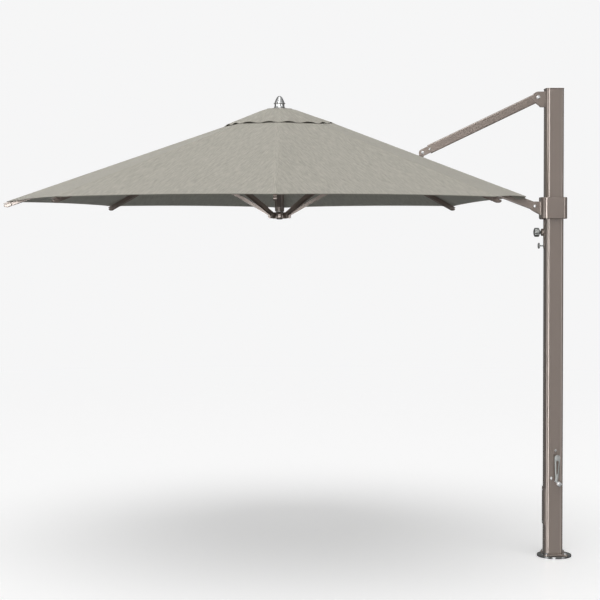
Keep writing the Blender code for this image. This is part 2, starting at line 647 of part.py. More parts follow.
def build_boom():
    start, hub_end = arm_ends()
    direction = (hub_end - start).normalized()
    half = ARM_DEPTH / 2 + TRIM_MARGIN
    tongue_reach = 0.345
    length = (hub_end - start).length - tongue_reach
    stay_x = (CANOPY_X + STAY_RADIUS - start.x) / direction.x
    side = arc((0, 0), half, 90, 270, 8) + [(length, -half), (length, half)]
    holes = [circle((0, 0), PIN_RADIUS * 1.5 + 2 * GAP, 12), circle((stay_x, 0), PIN_RADIUS + 2 * GAP, 10)]
    mesh = channel_bar("boom", rectangle_tube(ARM_WIDTH, ARM_DEPTH, ARM_WALL, 0.006),
                       [shift_outline(part, half + 0.01) for part in [side, *holes]],
                       length + half + 0.02, ARM_WIDTH)
    mesh.transform(Matrix.Translation((-half - 0.01, 0, 0)))
    add_object("boom", mesh, "bronze_paint", along(start, hub_end))

    # The tongue slides into the boom's inner end and carries it to the hub.
    nose = RIB_DEPTH / 2 + TRIM_MARGIN
    tongue_length = tongue_reach + 0.110
    outline = arc((0, 0), nose, 90, 270, 8) + [(tongue_length, -nose), (tongue_length, nose)]
    tongue = channel_bar("boom_tongue", rectangle_tube(RIB_WIDTH, RIB_DEPTH, RIB_WALL, 0.004),
                         [shift_outline(part, nose + 0.01)
                          for part in [outline, circle((0, 0), PIN_RADIUS + 2 * GAP, 10)]],
                         tongue_length + nose + 0.02, RIB_WIDTH)
    tongue.transform(Matrix.Translation((-nose - 0.01, 0, 0)))
    add_object("boom_tongue", tongue, "bronze_paint", along(hub_end, start))

    # The lug stands on the boom and holds the strut's lower pivot.
    along_boom = (STRUT_PIVOT - start).dot(direction)
    up = Vector((0, -1, 0)).cross(direction)
    up = up if up.z > 0 else -up
    offset = (STRUT_PIVOT - start).dot(up)
    foot = ARM_DEPTH / 2 + GAP
    outline = [(-0.030, foot), (0.030, foot), (0.030, foot + 0.005), (0.016, foot + 0.005),
               *arc((0, offset), 0.0155, 0, 180, 8), (-0.016, foot + 0.005), (-0.030, foot + 0.005)]
    place = along(start + direction * along_boom, hub_end)
    if (place.to_3x3() @ Vector((0, 1, 0))).z < 0:
        outline = [(x, -y) for x, y in reversed(outline)]
        hole_y = -offset
    else:
        hole_y = offset
    hole = circle((0, hole_y), PIN_RADIUS * 1.5 + 2 * GAP, 12)
    add_plate("strut_lug", [outline, hole], 0.016, "bronze_paint", place)


# ---------------------------------------------------------------- hubs, post and finial
def build_hubs():
    centre = Matrix.Translation((CANOPY_X, 0, 0))
    slot_floor = RIB_PIVOT_RADIUS - RIB_DEPTH / 2 - 0.002
    hub_height = TOP_HUB_TOP - TOP_HUB_BOTTOM
    hub_middle = (TOP_HUB_TOP + TOP_HUB_BOTTOM) / 2
    hub = add_plate("top_hub", [slotted_outline(TOP_HUB_RADIUS, slot_floor, RIB_WIDTH + 2 * RUN_GAP)],
                    hub_height, "bronze_paint", centre @ Matrix.Translation((0, 0, hub_middle)))
    pin = cylinder_mesh("hub_pin", PIN_RADIUS, RIB_WIDTH + 2 * RUN_GAP + 0.010, 8)
    for index in range(RIB_COUNT):
        height = BOOM_PIVOT_HEIGHT if index == 0 else RIB_PIVOT_HEIGHT
        turn = Matrix.Rotation(2 * math.pi * index / RIB_COUNT, 4, "Z")
        place = centre @ turn @ Matrix.Translation((RIB_PIVOT_RADIUS, 0, height)) @ AXIS_MINUS_Y
        combine(hub, add_cutter(f"hub_pin_{index}", pin, place), "UNION")

    add_turned("lower_hub", tube_profile(0.046, 0.0235, LOWER_HUB_BOTTOM, LOWER_HUB_TOP), "bronze_paint",
               centre, sides=24)
    lower = bpy.data.objects["lower_hub"]
    middle = (LOWER_HUB_BOTTOM + LOWER_HUB_TOP) / 2
    tongue = box_mesh("lower_tongue", (0.038, 0.016, LOWER_HUB_TOP - LOWER_HUB_BOTTOM - 0.004))
    for index in range(RIB_COUNT):
        turn = Matrix.Rotation(2 * math.pi * index / RIB_COUNT, 4, "Z")
        place = centre @ turn @ Matrix.Translation((0.054, 0, middle))
        combine(lower, add_cutter(f"lower_tongue_{index}", tongue, place), "UNION")

    add_tube("post_outer", 0.0295, 0.0266, 2.2145, TOP_HUB_BOTTOM - GAP, "bronze_paint", (CANOPY_X, 0))
    add_tube("post_middle", 0.0260, 0.0236, 2.2145, 2.790, "zinc", (CANOPY_X, 0))
    add_tube("post_inner", 0.0230, 0.0205, LOWER_HUB_BOTTOM + 0.001, 2.785, "zinc", (CANOPY_X, 0))

    base = VENT_TOP_HEIGHT + GAP * 4
    profile = [(0.0, base + 0.075), (0.006, base + 0.073), (0.015, base + 0.063), (0.024, base + 0.050),
               (0.030, base + 0.036), (0.033, base + 0.030), (0.038, base + 0.028), (0.038, base + 0.024),
               (0.032, base + 0.022), (0.031, base + 0.012), (0.035, base + 0.005), (0.035, base),
               (0.008, base), (0.008, TOP_HUB_TOP + GAP), (0.0, TOP_HUB_TOP + GAP)]
    add_turned("finial", profile, "stainless", centre, sides=20)


# ---------------------------------------------------------------- ribs and stays
def rib_frame(index):
    """The canopy's axis, turned so that local X points out along rib `index`."""
    return (Matrix.Translation((CANOPY_X, 0, 0))
            @ Matrix.Rotation(2 * math.pi * index / RIB_COUNT, 4, "Z"))


def build_ribs():
    pivot = Vector((RIB_PIVOT_RADIUS, 0, RIB_PIVOT_HEIGHT))
    tip = Vector((RIB_TIP_RADIUS, 0, RIB_PIVOT_HEIGHT - RIB_SLOPE * (RIB_TIP_RADIUS - RIB_PIVOT_RADIUS)))
    nose = RIB_DEPTH / 2 + TRIM_MARGIN
    length = (tip - pivot).length - nose
    stay_x = (STAY_RADIUS - RIB_PIVOT_RADIUS) * math.sqrt(1 + RIB_SLOPE ** 2)
    holes = [circle((0, 0), PIN_RADIUS + 2 * GAP, 10), circle((stay_x, 0), PIN_RADIUS + 2 * GAP, 10)]
    rib = channel_bar("rib", rectangle_tube(RIB_WIDTH, RIB_DEPTH, RIB_WALL, 0.004),
                      [shift_outline(part, nose + 0.01) for part in [stadium(0, length, nose, 5), *holes]],
                      length + 2 * nose + 0.02, RIB_WIDTH)
    rib.transform(Matrix.Translation((-nose - 0.01, 0, 0)))
    for index in range(1, RIB_COUNT):
        add_object(f"rib_{index}", rib, "bronze_paint", rib_frame(index) @ along(pivot, tip))


def stay_mesh(name, length, inner_width, top_fork, foot_fork):
    """A U-shaped bar, its floor cut back to a fork at each end, with a pin across its upper fork."""
    nose = STAY_DEPTH / 2
    outer = inner_width / 2 + STAY_WALL
    inner = inner_width / 2
    section = [[(-outer, -nose), (outer, -nose), (outer, nose), (inner, nose),
                (inner, -nose + STAY_WALL), (-inner, -nose + STAY_WALL), (-inner, nose), (-outer, nose)]]
    floor = -nose + STAY_WALL + 0.0005
    trim = nose + TRIM_MARGIN
    lip = math.degrees(math.asin(floor / trim))
    side = (arc((length, 0), trim, lip, 90, 5) + arc((0, 0), trim, 90, 180 - lip, 5)
            + [(top_fork, floor), (top_fork, -trim), (length - foot_fork, -trim), (length - foot_fork, floor)])
    mesh = channel_bar(name + "_bar", section, [shift_outline(side, nose + 0.01)],
                       length + 2 * nose + 0.02, 2 * outer)
    mesh.transform(Matrix.Translation((-nose - 0.01, 0, 0)))
    bar = add_cutter(name + "_bar", mesh)
    pin = add_cutter(name + "_pin", cylinder_mesh(name + "_pin", PIN_RADIUS, 2 * inner + STAY_WALL, 8))
    combine(bar, pin, "UNION")
    bpy.context.view_layer.update()
    joined = bpy.data.meshes.new_from_object(bar.evaluated_get(bpy.context.evaluated_depsgraph_get()))
    joined.name = name
    bpy.data.objects.remove(bar, do_unlink=True)
    bpy.data.objects.remove(pin, do_unlink=True)
    return joined


def stay_ends(index):
    """Upper and lower pivots of a stay in its rib's frame."""
    if index == 0:
        start, hub_end = arm_ends()
        slope = (hub_end.z - start.z) / (start.x - hub_end.x)
        height = BOOM_PIVOT_HEIGHT - slope * (STAY_RADIUS - RIB_PIVOT_RADIUS)
    else:
        height = RIB_PIVOT_HEIGHT - RIB_SLOPE * (STAY_RADIUS - RIB_PIVOT_RADIUS)
    return Vector((STAY_RADIUS, 0, height)), Vector((STAY_FOOT_RADIUS, 0, STAY_FOOT_HEIGHT))


def build_stays():
    top, foot = stay_ends(0)
    wide = stay_mesh("boom_stay", (foot - top).length, ARM_WIDTH + 2 * RUN_GAP, 0.090, 0.090)
    add_object("stay_0", wide, "bronze_paint", rib_frame(0) @ along(top, foot, Vector((0, -1, 0))))
    top, foot = stay_ends(1)
    narrow = stay_mesh("rib_stay", (foot - top).length, RIB_WIDTH + 4 * RUN_GAP, 0.046, 0.075)
    for index in range(1, RIB_COUNT):
        add_object(f"stay_{index}", narrow, "bronze_paint",
                   rib_frame(index) @ along(top, foot, Vector((0, -1, 0))))


# ---------------------------------------------------------------- fabric
def shell_from_rings(name, rings, thickness, material):
    """A closed skin: an open surface through rings of points, thickened downwards."""
    mesh = bpy.data.meshes.new(name)
    shell = bmesh.new()
    rows = [[shell.verts.new(point) for point in ring] for ring in rings]
    count = len(rows[0])
    for inner, outer in zip(rows, rows[1:]):
        for index in range(count):
            following = (index + 1) % count
            shell.faces.new((inner[index], outer[index], outer[following], inner[following]))
    shell.to_mesh(mesh)
    shell.free()
    item = add_object(name, mesh, material)
    skin = item.modifiers.new("thickness", "SOLIDIFY")
    skin.thickness = thickness
    skin.offset = -1.0
    return item


def canopy_line(index, radius):
    """Height of the fabric over rib `index`."""
    if index == 0:
        return BOOM_RISE - BOOM_SLOPE * radius
    return CANOPY_RISE - CANOPY_SLOPE * radius


def rib_point(index, radius, height):
    angle = 2 * math.pi * index / RIB_COUNT
    return (CANOPY_X + radius * math.cos(angle), radius * math.sin(angle), height)


def build_canopy():
    rings = []
    for share in (0.0, 0.5, 1.0):
        ring = []
        for index in range(RIB_COUNT):
            limit = CANOPY_BOOM_RADIUS if index == 0 else CANOPY_RADIUS
            radius = VENT_HOLE_RADIUS + (limit - VENT_HOLE_RADIUS) * share
            ring.append(rib_point(index, radius, canopy_line(index, radius)))
        rings.append(ring)
    canopy = shell_from_rings("canopy_cover", rings, FABRIC, "canopy_fabric")
    slot = box_mesh("strut_slot", (0.080, 0.050, 0.12))
    combine(canopy, add_cutter("strut_slot", slot, Matrix.Translation((STRUT_PIVOT.x - 0.008, 0, 2.56))),
            "DIFFERENCE")

    rings = []
    for radius, drop in ((0.012, 0.0), (VENT_TOP_RADIUS, 0.0), (VENT_RADIUS, 1.0)):
        ring = []
        for index in range(RIB_COUNT):
            edge = VENT_BOOM_EDGE_HEIGHT if index == 0 else VENT_EDGE_HEIGHT
            ring.append(rib_point(index, radius, VENT_TOP_HEIGHT + (edge - VENT_TOP_HEIGHT) * drop))
        rings.append(ring)
    shell_from_rings("vent_cap", rings, FABRIC, "canopy_fabric")


# ---------------------------------------------------------------- assembly
def main():
    mast_bottom = build_base()
    build_mast(mast_bottom)
    build_upper_bracket()
    build_crank()
    build_lift_cord()
    build_collar()
    build_lock()
    build_strut()
    build_boom()
    build_hubs()
    build_ribs()
    build_stays()
    build_canopy()
    for item in PARTS.objects:
        if item.type == "MESH":
            item.data.shade_smooth()
            item.data.set_sharp_from_angle(angle=math.radians(30.0))
    bpy.context.view_layer.update()


main()
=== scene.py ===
"""Looks of the cantilever parasol: fabric, painted metal, fittings, floor, light and camera.

Metres, +Z up. The mast stands at the origin and the canopy reaches out towards -X. Rib k stands at 45 k
degrees round the canopy's own axis, counted from +X, and the boom takes the place of rib 0.
"""

import json
from math import asin, atan, copysign, cos, degrees, exp, log, pi, radians, sin, sqrt

import bmesh
import bpy
from mathutils import Matrix, Vector


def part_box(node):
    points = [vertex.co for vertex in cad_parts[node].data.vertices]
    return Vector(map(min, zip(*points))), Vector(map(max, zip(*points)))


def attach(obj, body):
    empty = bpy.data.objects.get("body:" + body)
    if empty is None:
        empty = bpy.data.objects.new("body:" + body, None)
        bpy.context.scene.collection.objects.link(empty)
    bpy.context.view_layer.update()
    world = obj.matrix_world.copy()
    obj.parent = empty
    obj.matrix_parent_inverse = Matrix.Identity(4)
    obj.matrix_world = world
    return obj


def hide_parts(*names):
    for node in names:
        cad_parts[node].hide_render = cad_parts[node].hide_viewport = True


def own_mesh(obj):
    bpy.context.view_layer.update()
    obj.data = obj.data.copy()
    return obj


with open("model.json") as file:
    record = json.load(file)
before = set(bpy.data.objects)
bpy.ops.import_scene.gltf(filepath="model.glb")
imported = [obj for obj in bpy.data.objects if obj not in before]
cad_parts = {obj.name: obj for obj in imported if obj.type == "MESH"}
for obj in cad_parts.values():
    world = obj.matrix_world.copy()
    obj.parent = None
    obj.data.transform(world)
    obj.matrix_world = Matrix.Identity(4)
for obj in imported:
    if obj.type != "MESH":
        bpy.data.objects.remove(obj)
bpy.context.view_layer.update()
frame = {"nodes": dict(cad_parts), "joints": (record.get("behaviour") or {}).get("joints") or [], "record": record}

# ---- places, read from the frame
BODY = {node: body for body, nodes in frame["record"]["behaviour"]["bodies"].items() for node in nodes}
SLOT = {row["node"]: row["material_slot"] for row in frame["record"]["subparts"]}
JOINTS = {joint["name"]: joint for joint in frame["joints"]}


def shift(x, y, z):
    return Matrix.Translation((x, y, z))


def low(node):
    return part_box(node)[0]


def high(node):
    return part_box(node)[1]


def middle(node):
    return (low(node) + high(node)) / 2


def pivot(joint):
    return Vector(JOINTS[joint]["pos_m"])


RIBS = 8
HUB_X = middle("lower_hub").x
HUB_AXIS = shift(HUB_X, 0, 0)
UPPER_PIVOT = pivot("canopy_fold")
STRUT_PIVOT = pivot("boom_pivot")
COLLAR_PIVOT = pivot("collar_pivot")
HUB_PIVOT = pivot("hub_pivot")
RIB_PIVOT = pivot("rib_4_fold")
STAY_PIVOT = pivot("stay_4_fold")
RIB_WIDTH = high("rib_4").y - low("rib_4").y
RIB_DEPTH = 0.032
ARM_DEPTH, STRUT_DEPTH, ARM_WIDTH = 0.052, 0.058, 0.030
RIB_TIP_RADIUS = HUB_X - low("rib_4").x
RIB_PIVOT_RADIUS = HUB_X - RIB_PIVOT.x
STAY_RADIUS = HUB_X - STAY_PIVOT.x
RIB_SLOPE = (RIB_PIVOT.z - STAY_PIVOT.z) / (STAY_RADIUS - RIB_PIVOT_RADIUS)
STAY_DEPTH = 0.022
STAY_FOOT = (0.060, low("stay_4").z + STAY_DEPTH / 2)      # radius and height

# Fabric: the top of the cloth over a rib falls in a straight line from the axis
CLOTH = 0.0018
HOLE_RADIUS = 0.300
TIP_RADIUS = HUB_X - low("canopy_cover").x
BOOM_TIP_RADIUS = high("canopy_cover").x - HUB_X
RISE, SLOPE = 2.875, 0.343
BOOM_RISE, BOOM_SLOPE = 2.905, 0.3785
BAND = 0.012                     # half the width of the seam band over a rib
BOOM_BAND = 0.028                # and over the boom
HEM_INSET = 0.020                # the hem curves in between two ribs
HEM_WIDTH = 1.28                 # from corner to corner
RIB_CHORD = 0.765                # distance between two ribs, one unit out from the axis
SAG = 0.007                      # of a panel's middle below its edges
VENT_RADIUS = HUB_X - low("vent_cap").x
VENT_TOP_RADIUS = 0.089          # of the vent cap's flat crown
VENT_SHOULDER = 0.011            # how softly the crown turns into the fall
VENT_CROWN = high("vent_cap").z - 0.0065
VENT_INNER = 0.069               # radius where the vent panels start
CROWN_RADIUS = 0.082             # of the round patch that covers their inner ends


# ---- node trees
class Nodes:
    """A small helper that adds nodes to a material's or the world's tree and links them."""

    def __init__(self, owner):
        owner.use_nodes = True
        self.owner, self.tree = owner, owner.node_tree
        self.tree.nodes.clear()

    def feed(self, node, inputs):
        """Set inputs, by name or number, to a value or to the output of another node."""
        for name, value in inputs.items():
            socket = node.inputs[name]
            if isinstance(value, bpy.types.NodeSocket):
                self.tree.links.new(value, socket)
            else:
                socket.default_value = value

    def add(self, kind, inputs=None, **settings):
        node = self.tree.nodes.new("ShaderNode" + kind)
        for name, value in settings.items():
            setattr(node, name, value)
        self.feed(node, inputs or {})
        return node

    def finish(self, inputs):
        """Set inputs of the surface's shader and return the material."""
        self.feed(self.shader, inputs)
        return self.owner

    def place(self):
        return self.add("TexCoord").outputs["Object"]

    def edges(self, low_in, high_in):
        """0 where the surface is hollower than `low_in` and 1 where it is sharper than `high_in`."""
        return self.ramp(self.add("NewGeometry").outputs["Pointiness"], low_in, high_in)

    def math(self, operation, first, second=0.0, third=0.0):
        return self.add("Math", {0: first, 1: second, 2: third}, operation=operation).outputs[0]

    def times(self, first, second, plus=0.0):
        """First times second, plus a third value."""
        return self.math("MULTIPLY_ADD", first, second, plus)

    def ramp(self, value, low_in, high_in, low_out=0.0, high_out=1.0, kind="SMOOTHSTEP"):
        return self.add("MapRange", {"Value": value, "From Min": low_in, "From Max": high_in,
            "To Min": low_out, "To Max": high_out}, interpolation_type=kind).outputs[0]

    def noise(self, vector, scale, detail=2.0):
        return self.add("TexNoise", {"Vector": vector, "Scale": scale, "Detail": detail}).outputs[0]

    def mix(self, share, first, second):
        """Inputs 6 and 7 of this node are its two colours, and output 2 is the mixed colour."""
        return self.add("Mix", {0: share, 6: first, 7: second}, data_type="RGBA").outputs[2]

    def blend(self, share, first, second):
        return self.add("MixShader", {0: share, 1: first.outputs[0], 2: second.outputs[0]})

    def tones(self, share, colour, dark, bright):
        return self.mix(share, shade(colour, dark), shade(colour, bright))

    def bump(self, height, strength, distance):
        return self.add("Bump", {"Height": height, "Strength": strength, "Distance": distance}).outputs[0]


def shade(colour, factor):
    return (*(channel * factor for channel in colour), 1.0)


def surface(name, colour, roughness, metallic, sockets=None):
    """The tree helper of a new Principled material."""
    nodes = Nodes(bpy.data.materials.new(name))
    nodes.shader = nodes.add("BsdfPrincipled", {"Base Color": (*colour, 1.0), "Roughness": roughness,
        "Metallic": metallic, **(sockets or {})})
    nodes.add("OutputMaterial", {0: nodes.shader.outputs[0]})
    return nodes


def metal_paint(name, colour):
    """Satin powder coat: very fine orange peel, faint flakes and lighter edges."""
    nodes = surface(name, colour, 0.22, 0.25, {"Coat Weight": 0.10, "Coat Roughness": 0.12})
    place = nodes.place()
    flakes = nodes.ramp(nodes.noise(place, 2600.0, 0.0), 0.60, 0.78)
    base = nodes.tones(nodes.noise(place, 2.0, 1.0), colour, 0.985, 1.015)
    flaked = nodes.mix(nodes.times(flakes, 0.20), base, shade(colour, 1.5))
    worn = nodes.times(nodes.edges(0.56, 0.66), 0.30)
    return nodes.finish({"Base Color": nodes.mix(worn, flaked, shade(colour, 1.6)),
        "Normal": nodes.bump(nodes.noise(place, 900.0), 0.012, 0.0002)})


def polished_steel(name, colour, roughness, metallic=1.0):
    """Steel with hairline scratches round the part, and painted shade that darkens the colour in the hollows."""
    nodes = surface(name, colour, roughness, metallic)
    hairlines = nodes.add("Mapping", {"Vector": nodes.place(), "Scale": (90.0, 90.0, 2400.0)}).outputs[0]
    scratches = nodes.noise(hairlines, 1.0)
    # painted shade: the base colour falls to 0.55 of itself in the hollows
    return nodes.finish({
        "Base Color": nodes.tones(nodes.edges(0.40, 0.49), colour, 0.55, 1.0),
        "Roughness": nodes.ramp(scratches, 0.35, 0.70, roughness * 0.75, roughness * 1.5),
        "Normal": nodes.bump(scratches, 0.04, 0.0002)})


def casting(name, colour):
    """Grey satin zinc casting with a fine grain, and a painted highlight along its sharp edges."""
    nodes = surface(name, colour, 0.38, 0.45)
    place = nodes.place()
    patch = nodes.noise(place, 45.0, 3.0)
    base = nodes.tones(patch, colour, 0.85, 1.12)
    # painted highlight: sharp edges mix towards twice the casting's colour
    return nodes.finish({
        "Base Color": nodes.mix(nodes.times(nodes.edges(0.52, 0.60), 0.6), base, shade(colour, 2.0)),
        "Roughness": nodes.ramp(patch, 0.3, 0.7, 0.30, 0.46),
        "Normal": nodes.bump(nodes.noise(place, 1100.0, 3.0), 0.18, 0.0004)})


def moulding(name, colour):
    """Matt moulded plastic with a spark-eroded grain."""
    nodes = surface(name, colour, 0.55, 0.0)
    place = nodes.place()
    grain = nodes.noise(place, 1500.0)
    return nodes.finish({
        "Base Color": nodes.tones(nodes.noise(place, 30.0), colour, 0.85, 1.25),
        "Roughness": nodes.ramp(grain, 0.3, 0.7, 0.50, 0.66),
        "Normal": nodes.bump(grain, 0.25, 0.0003)})


def braid(name, colour):
    """Braided cord: two sets of diagonal strands."""
    nodes = surface(name, colour, 0.85, 0.0, {"Sheen Weight": 0.3})
    parts = nodes.add("SeparateXYZ", {0: nodes.place()})
    rising, falling = (
        nodes.math("SINE", nodes.times(parts.outputs[2], 1800.0, nodes.times(parts.outputs[1], slope)))
        for slope in (2400.0, -2400.0))
    strands = nodes.ramp(nodes.math("MAXIMUM", rising, falling), -0.4, 1.0)
    return nodes.finish({"Base Color": nodes.tones(strands, colour, 0.6, 1.1),
        "Normal": nodes.bump(strands, 0.6, 0.0006)})


YARN_PITCH = 0.0014
STITCH_PITCH = 0.0042


def woven(name, colour, slub, sheen):
    """Woven acrylic: fine plain weave, slubs along the warp, faint stripes, and stitches by seams and hem.

    The map called weave holds metres across and along the panel; the map called edges holds the distances
    from the seam band and from the hem.
    """
    nodes = surface(name, colour, 0.88, 0.0, {
        "Sheen Weight": sheen, "Sheen Roughness": 0.45, "Specular IOR Level": 0.25})
    weave = nodes.add("UVMap", uv_map="weave").outputs[0]
    across, along = nodes.add("SeparateXYZ", {0: weave}).outputs[:2]
    warp, weft = (nodes.math("SINE", nodes.times(way, 2 * pi / YARN_PITCH)) for way in (across, along))
    weave_height = nodes.ramp(nodes.times(warp, weft), -1.0, 1.0, kind="LINEAR")

    def streaks(width, length):
        scaled = nodes.add("Mapping", {"Vector": weave, "Scale": (1 / width, 1 / length, 1.0)}).outputs[0]
        return nodes.noise(scaled, 1.0, 1.0)

    small = nodes.ramp(streaks(0.0045, 0.045), 0.32, 0.68)
    large = nodes.ramp(streaks(0.0080, 0.100), 0.34, 0.66)
    stripe = nodes.ramp(streaks(0.0065, 0.9), 0.30, 0.70)
    blend = nodes.times(nodes.noise(weave, 2.2, 3.0), 0.12)
    for pattern, weight in ((stripe, 0.18), (large, 0.36), (small, 0.34)):
        blend = nodes.times(pattern, weight, blend)
    base = nodes.tones(blend, colour, 1 - slub, 1 + slub)
    threaded = nodes.mix(nodes.times(weave_height, 0.12), base, shade(colour, 0.62))

    edges = nodes.add("UVMap", uv_map="edges").outputs[0]
    from_seam, from_hem = nodes.add("SeparateXYZ", {0: edges}).outputs[:2]
    stitches = 0.0
    for distance, row, run in ((from_seam, 0.0030, along), (from_seam, 0.0095, along),
            (from_hem, 0.0040, across), (from_hem, 0.0240, across)):
        gap = nodes.math("ABSOLUTE", nodes.math("SUBTRACT", distance, row))
        line = nodes.ramp(gap, 0.0004, 0.0010, 1.0, 0.0)
        dash = nodes.ramp(nodes.math("SINE", nodes.times(run, 2 * pi / STITCH_PITCH)), -0.45, -0.15)
        stitches = nodes.math("MAXIMUM", stitches, nodes.times(line, dash))
    fold = nodes.times(nodes.ramp(from_hem, 0.0235, 0.0265, 1.0, 0.0), 0.9)
    height = nodes.math("ADD", nodes.times(stitches, 1.2, fold),
        nodes.times(large, 0.35, nodes.times(weave_height, 0.5)))
    return nodes.finish({"Base Color": nodes.mix(nodes.times(stitches, 0.7), threaded, shade(colour, 1.35)),
        "Normal": nodes.bump(height, 0.35, 0.0006)})


BRONZE = (0.254, 0.208, 0.181)
FABRIC = (0.405, 0.388, 0.340)
MATERIALS = {
    "bronze_paint": metal_paint("bronze_paint", BRONZE),
    "stainless": polished_steel("polished_stainless", (0.58, 0.57, 0.56), 0.09),
    "zinc": casting("grey_casting", (0.235, 0.240, 0.232)),
    "black_plastic": moulding("black_moulding", (0.030, 0.030, 0.031)),
    "cord": braid("braided_cord", (0.55, 0.54, 0.50)),
    "canopy_fabric": woven("canopy_top", FABRIC, 0.24, 0.10),
}
SCREW_STEEL = polished_steel("satin_screw_steel", (0.36, 0.36, 0.36), 0.30)
BASE_STEEL = polished_steel("dark_base_steel", (0.17, 0.17, 0.17), 0.16, 0.55)
# Painted shade: the canopy's underside is a darker copy of the top cloth.
SHADED_UNDERSIDE = woven("canopy_underside_painted_shade", (0.352, 0.350, 0.312), 0.20, 0.05)


# ---- shapes
WELD = 0.00001                   # points nearer than this become one


def arc(centre, radius, start_deg, end_deg, steps=12):
    points = []
    for index in range(steps + 1):
        angle = radians(start_deg + (end_deg - start_deg) * index / steps)
        points.append((centre[0] + radius * cos(angle), centre[1] + radius * sin(angle)))
    return points


def circle(centre, radius, sides=48):
    return arc(centre, radius, 0.0, 360.0, sides)[:-1]


def rounded(x_range, y_range, radius, steps=12):
    """Outline of a rectangle with rounded corners."""
    (x0, x1), (y0, y1) = x_range, y_range
    corners = [(x1 - radius, y1 - radius, 0), (x0 + radius, y1 - radius, 90),
        (x0 + radius, y0 + radius, 180), (x1 - radius, y0 + radius, 270)]
    points = []
    for x, y, start in corners:
        points += arc((x, y), radius, start, start + 90, steps)
    return points


def soften(points, radius, closed=False, steps=4):
    """Round the corners of a path of (x, y) points."""
    result = []
    count = len(points)
    for index, point in enumerate(points):
        here = Vector(point)
        if not closed and index in (0, count - 1):
            result.append(tuple(here))
            continue
        before, after = Vector(points[index - 1]), Vector(points[(index + 1) % count])
        reach = min(radius, 0.48 * (before - here).length, 0.48 * (after - here).length)
        start = here + (before - here).normalized() * reach
        end = here + (after - here).normalized() * reach
        for step in range(steps + 1):
            share = step / steps
            result.append(tuple(start.lerp(here, share).lerp(here.lerp(end, share), share)))
    return result


def take_mesh(item):
    """The evaluated mesh of a temporary object, which is then removed."""
    bpy.context.view_layer.update()
    mesh = bpy.data.meshes.new_from_object(item.evaluated_get(bpy.context.evaluated_depsgraph_get()))
    bpy.data.objects.remove(item)
    return mesh


def settle(shell, name):
    """A mesh made from a bmesh, which is then freed."""
    mesh = bpy.data.meshes.new(name)
    shell.to_mesh(mesh)
    shell.free()
    return mesh


def holder(data, name="holder"):
    item = bpy.data.objects.new(name, data)
    bpy.context.scene.collection.objects.link(item)
    return item


def weld(mesh):
    shell = bmesh.new()
    shell.from_mesh(mesh)
    bmesh.ops.remove_doubles(shell, verts=shell.verts, dist=WELD)
    bmesh.ops.recalc_face_normals(shell, faces=shell.faces)
    shell.to_mesh(mesh)
    shell.free()
    return mesh


def plate(outlines, thickness, bevel=0.0, place=Matrix.Identity(4)):
    """A flat outline with holes, as thick as stated and centred on its plane, with rounded edges."""
    curve = bpy.data.curves.new("plate", "CURVE")
    curve.dimensions = "2D"
    curve.fill_mode = "BOTH"
    curve.extrude = thickness / 2 - bevel
    curve.bevel_depth = bevel
    curve.bevel_resolution = 2
    curve.offset = -bevel
    for outline in outlines:
        spline = curve.splines.new("POLY")
        spline.points.add(len(outline) - 1)
        for point, (x, y) in zip(spline.points, outline):
            point.co = (x, y, 0.0, 1.0)
        spline.use_cyclic_u = True
    mesh = weld(take_mesh(holder(curve)))
    mesh.transform(place)
    return mesh


def lathe(profile, place, sides=64):
    """A turned solid from (radius, height) points, listed from the top down the outer side."""
    shell = bmesh.new()
    rings = []
    for radius, height in profile:
        corners = circle((0, 0), radius, sides) if radius > 0 else [(0.0, 0.0)]
        rings.append([shell.verts.new((x, y, height)) for x, y in corners])
    pairs = list(zip(rings, rings[1:]))
    if len(rings[0]) > 1:
        pairs.append((rings[-1], rings[0]))
    for upper, lower in pairs:
        for index in range(sides):
            following = (index + 1) % sides
            loop = [upper[index % len(upper)], lower[index % len(lower)],
                lower[following % len(lower)], upper[following % len(upper)]]
            loop = list(dict.fromkeys(loop))
            if len(loop) > 2:
                shell.faces.new(loop)
    mesh = settle(shell, "turned")
    mesh.transform(place)
    return mesh


def rod(radius, top, bottom, place, sides):
    return lathe([(0.0, top), (radius, top), (radius, bottom), (0.0, bottom)], place, sides)


def slab(outlines, bottom, top, bevel, x=0.0):
    """A level plate between two heights."""
    return plate(outlines, top - bottom, bevel, shift(x, 0, (bottom + top) / 2))


def ball(radius, centre):
    shell = bmesh.new()
    bmesh.ops.create_uvsphere(shell, u_segments=40, v_segments=24, radius=radius)
    mesh = settle(shell, "ball")
    mesh.transform(Matrix.Translation(centre))
    return mesh


def join(*meshes):
    """Several closed bodies in one mesh."""
    shell = bmesh.new()
    for mesh in meshes:
        shell.from_mesh(mesh)
    return settle(shell, "joined")


def cut(mesh, *cutters):
    """Take the cutters away from a mesh."""
    item = holder(mesh)
    tools = [holder(cutter) for cutter in cutters]
    for tool in tools:
        modifier = item.modifiers.new("cut", "BOOLEAN")
        modifier.operation = "DIFFERENCE"
        modifier.object = tool
    result = take_mesh(item)
    for tool in tools:
        bpy.data.objects.remove(tool)
    return result


def facing(direction, at):
    """A placement at a point whose local Z runs along a direction."""
    return Matrix.Translation(at) @ Vector(direction).to_track_quat("Z", "Y").to_matrix().to_4x4()


# Local X stays, local Y becomes Z and local Z becomes -Y.
SIDEWAYS = Matrix.Rotation(radians(90.0), 4, "X")


def finish_mesh(mesh, materials, angle=35.0):
    for material in materials:
        mesh.materials.append(material)
    mesh.shade_smooth()
    mesh.set_sharp_from_angle(angle=radians(angle))


def flatten_shading(mesh):
    """Large faces keep their own direction, and the rounded edges blend into them."""
    item = holder(mesh)
    modifier = item.modifiers.new("shading", "WEIGHTED_NORMAL")
    modifier.keep_sharp = True
    modifier.weight = 80
    return take_mesh(item)


def extra(name, mesh, slot, body, material=None, angle=35.0):
    """A piece that the frame doesn't have, riding on one of its bodies."""
    finish_mesh(mesh, [material or MATERIALS[slot]], angle)
    mesh = flatten_shading(mesh)
    mesh.name = name
    item = holder(mesh, name)
    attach(item, body)
    return item


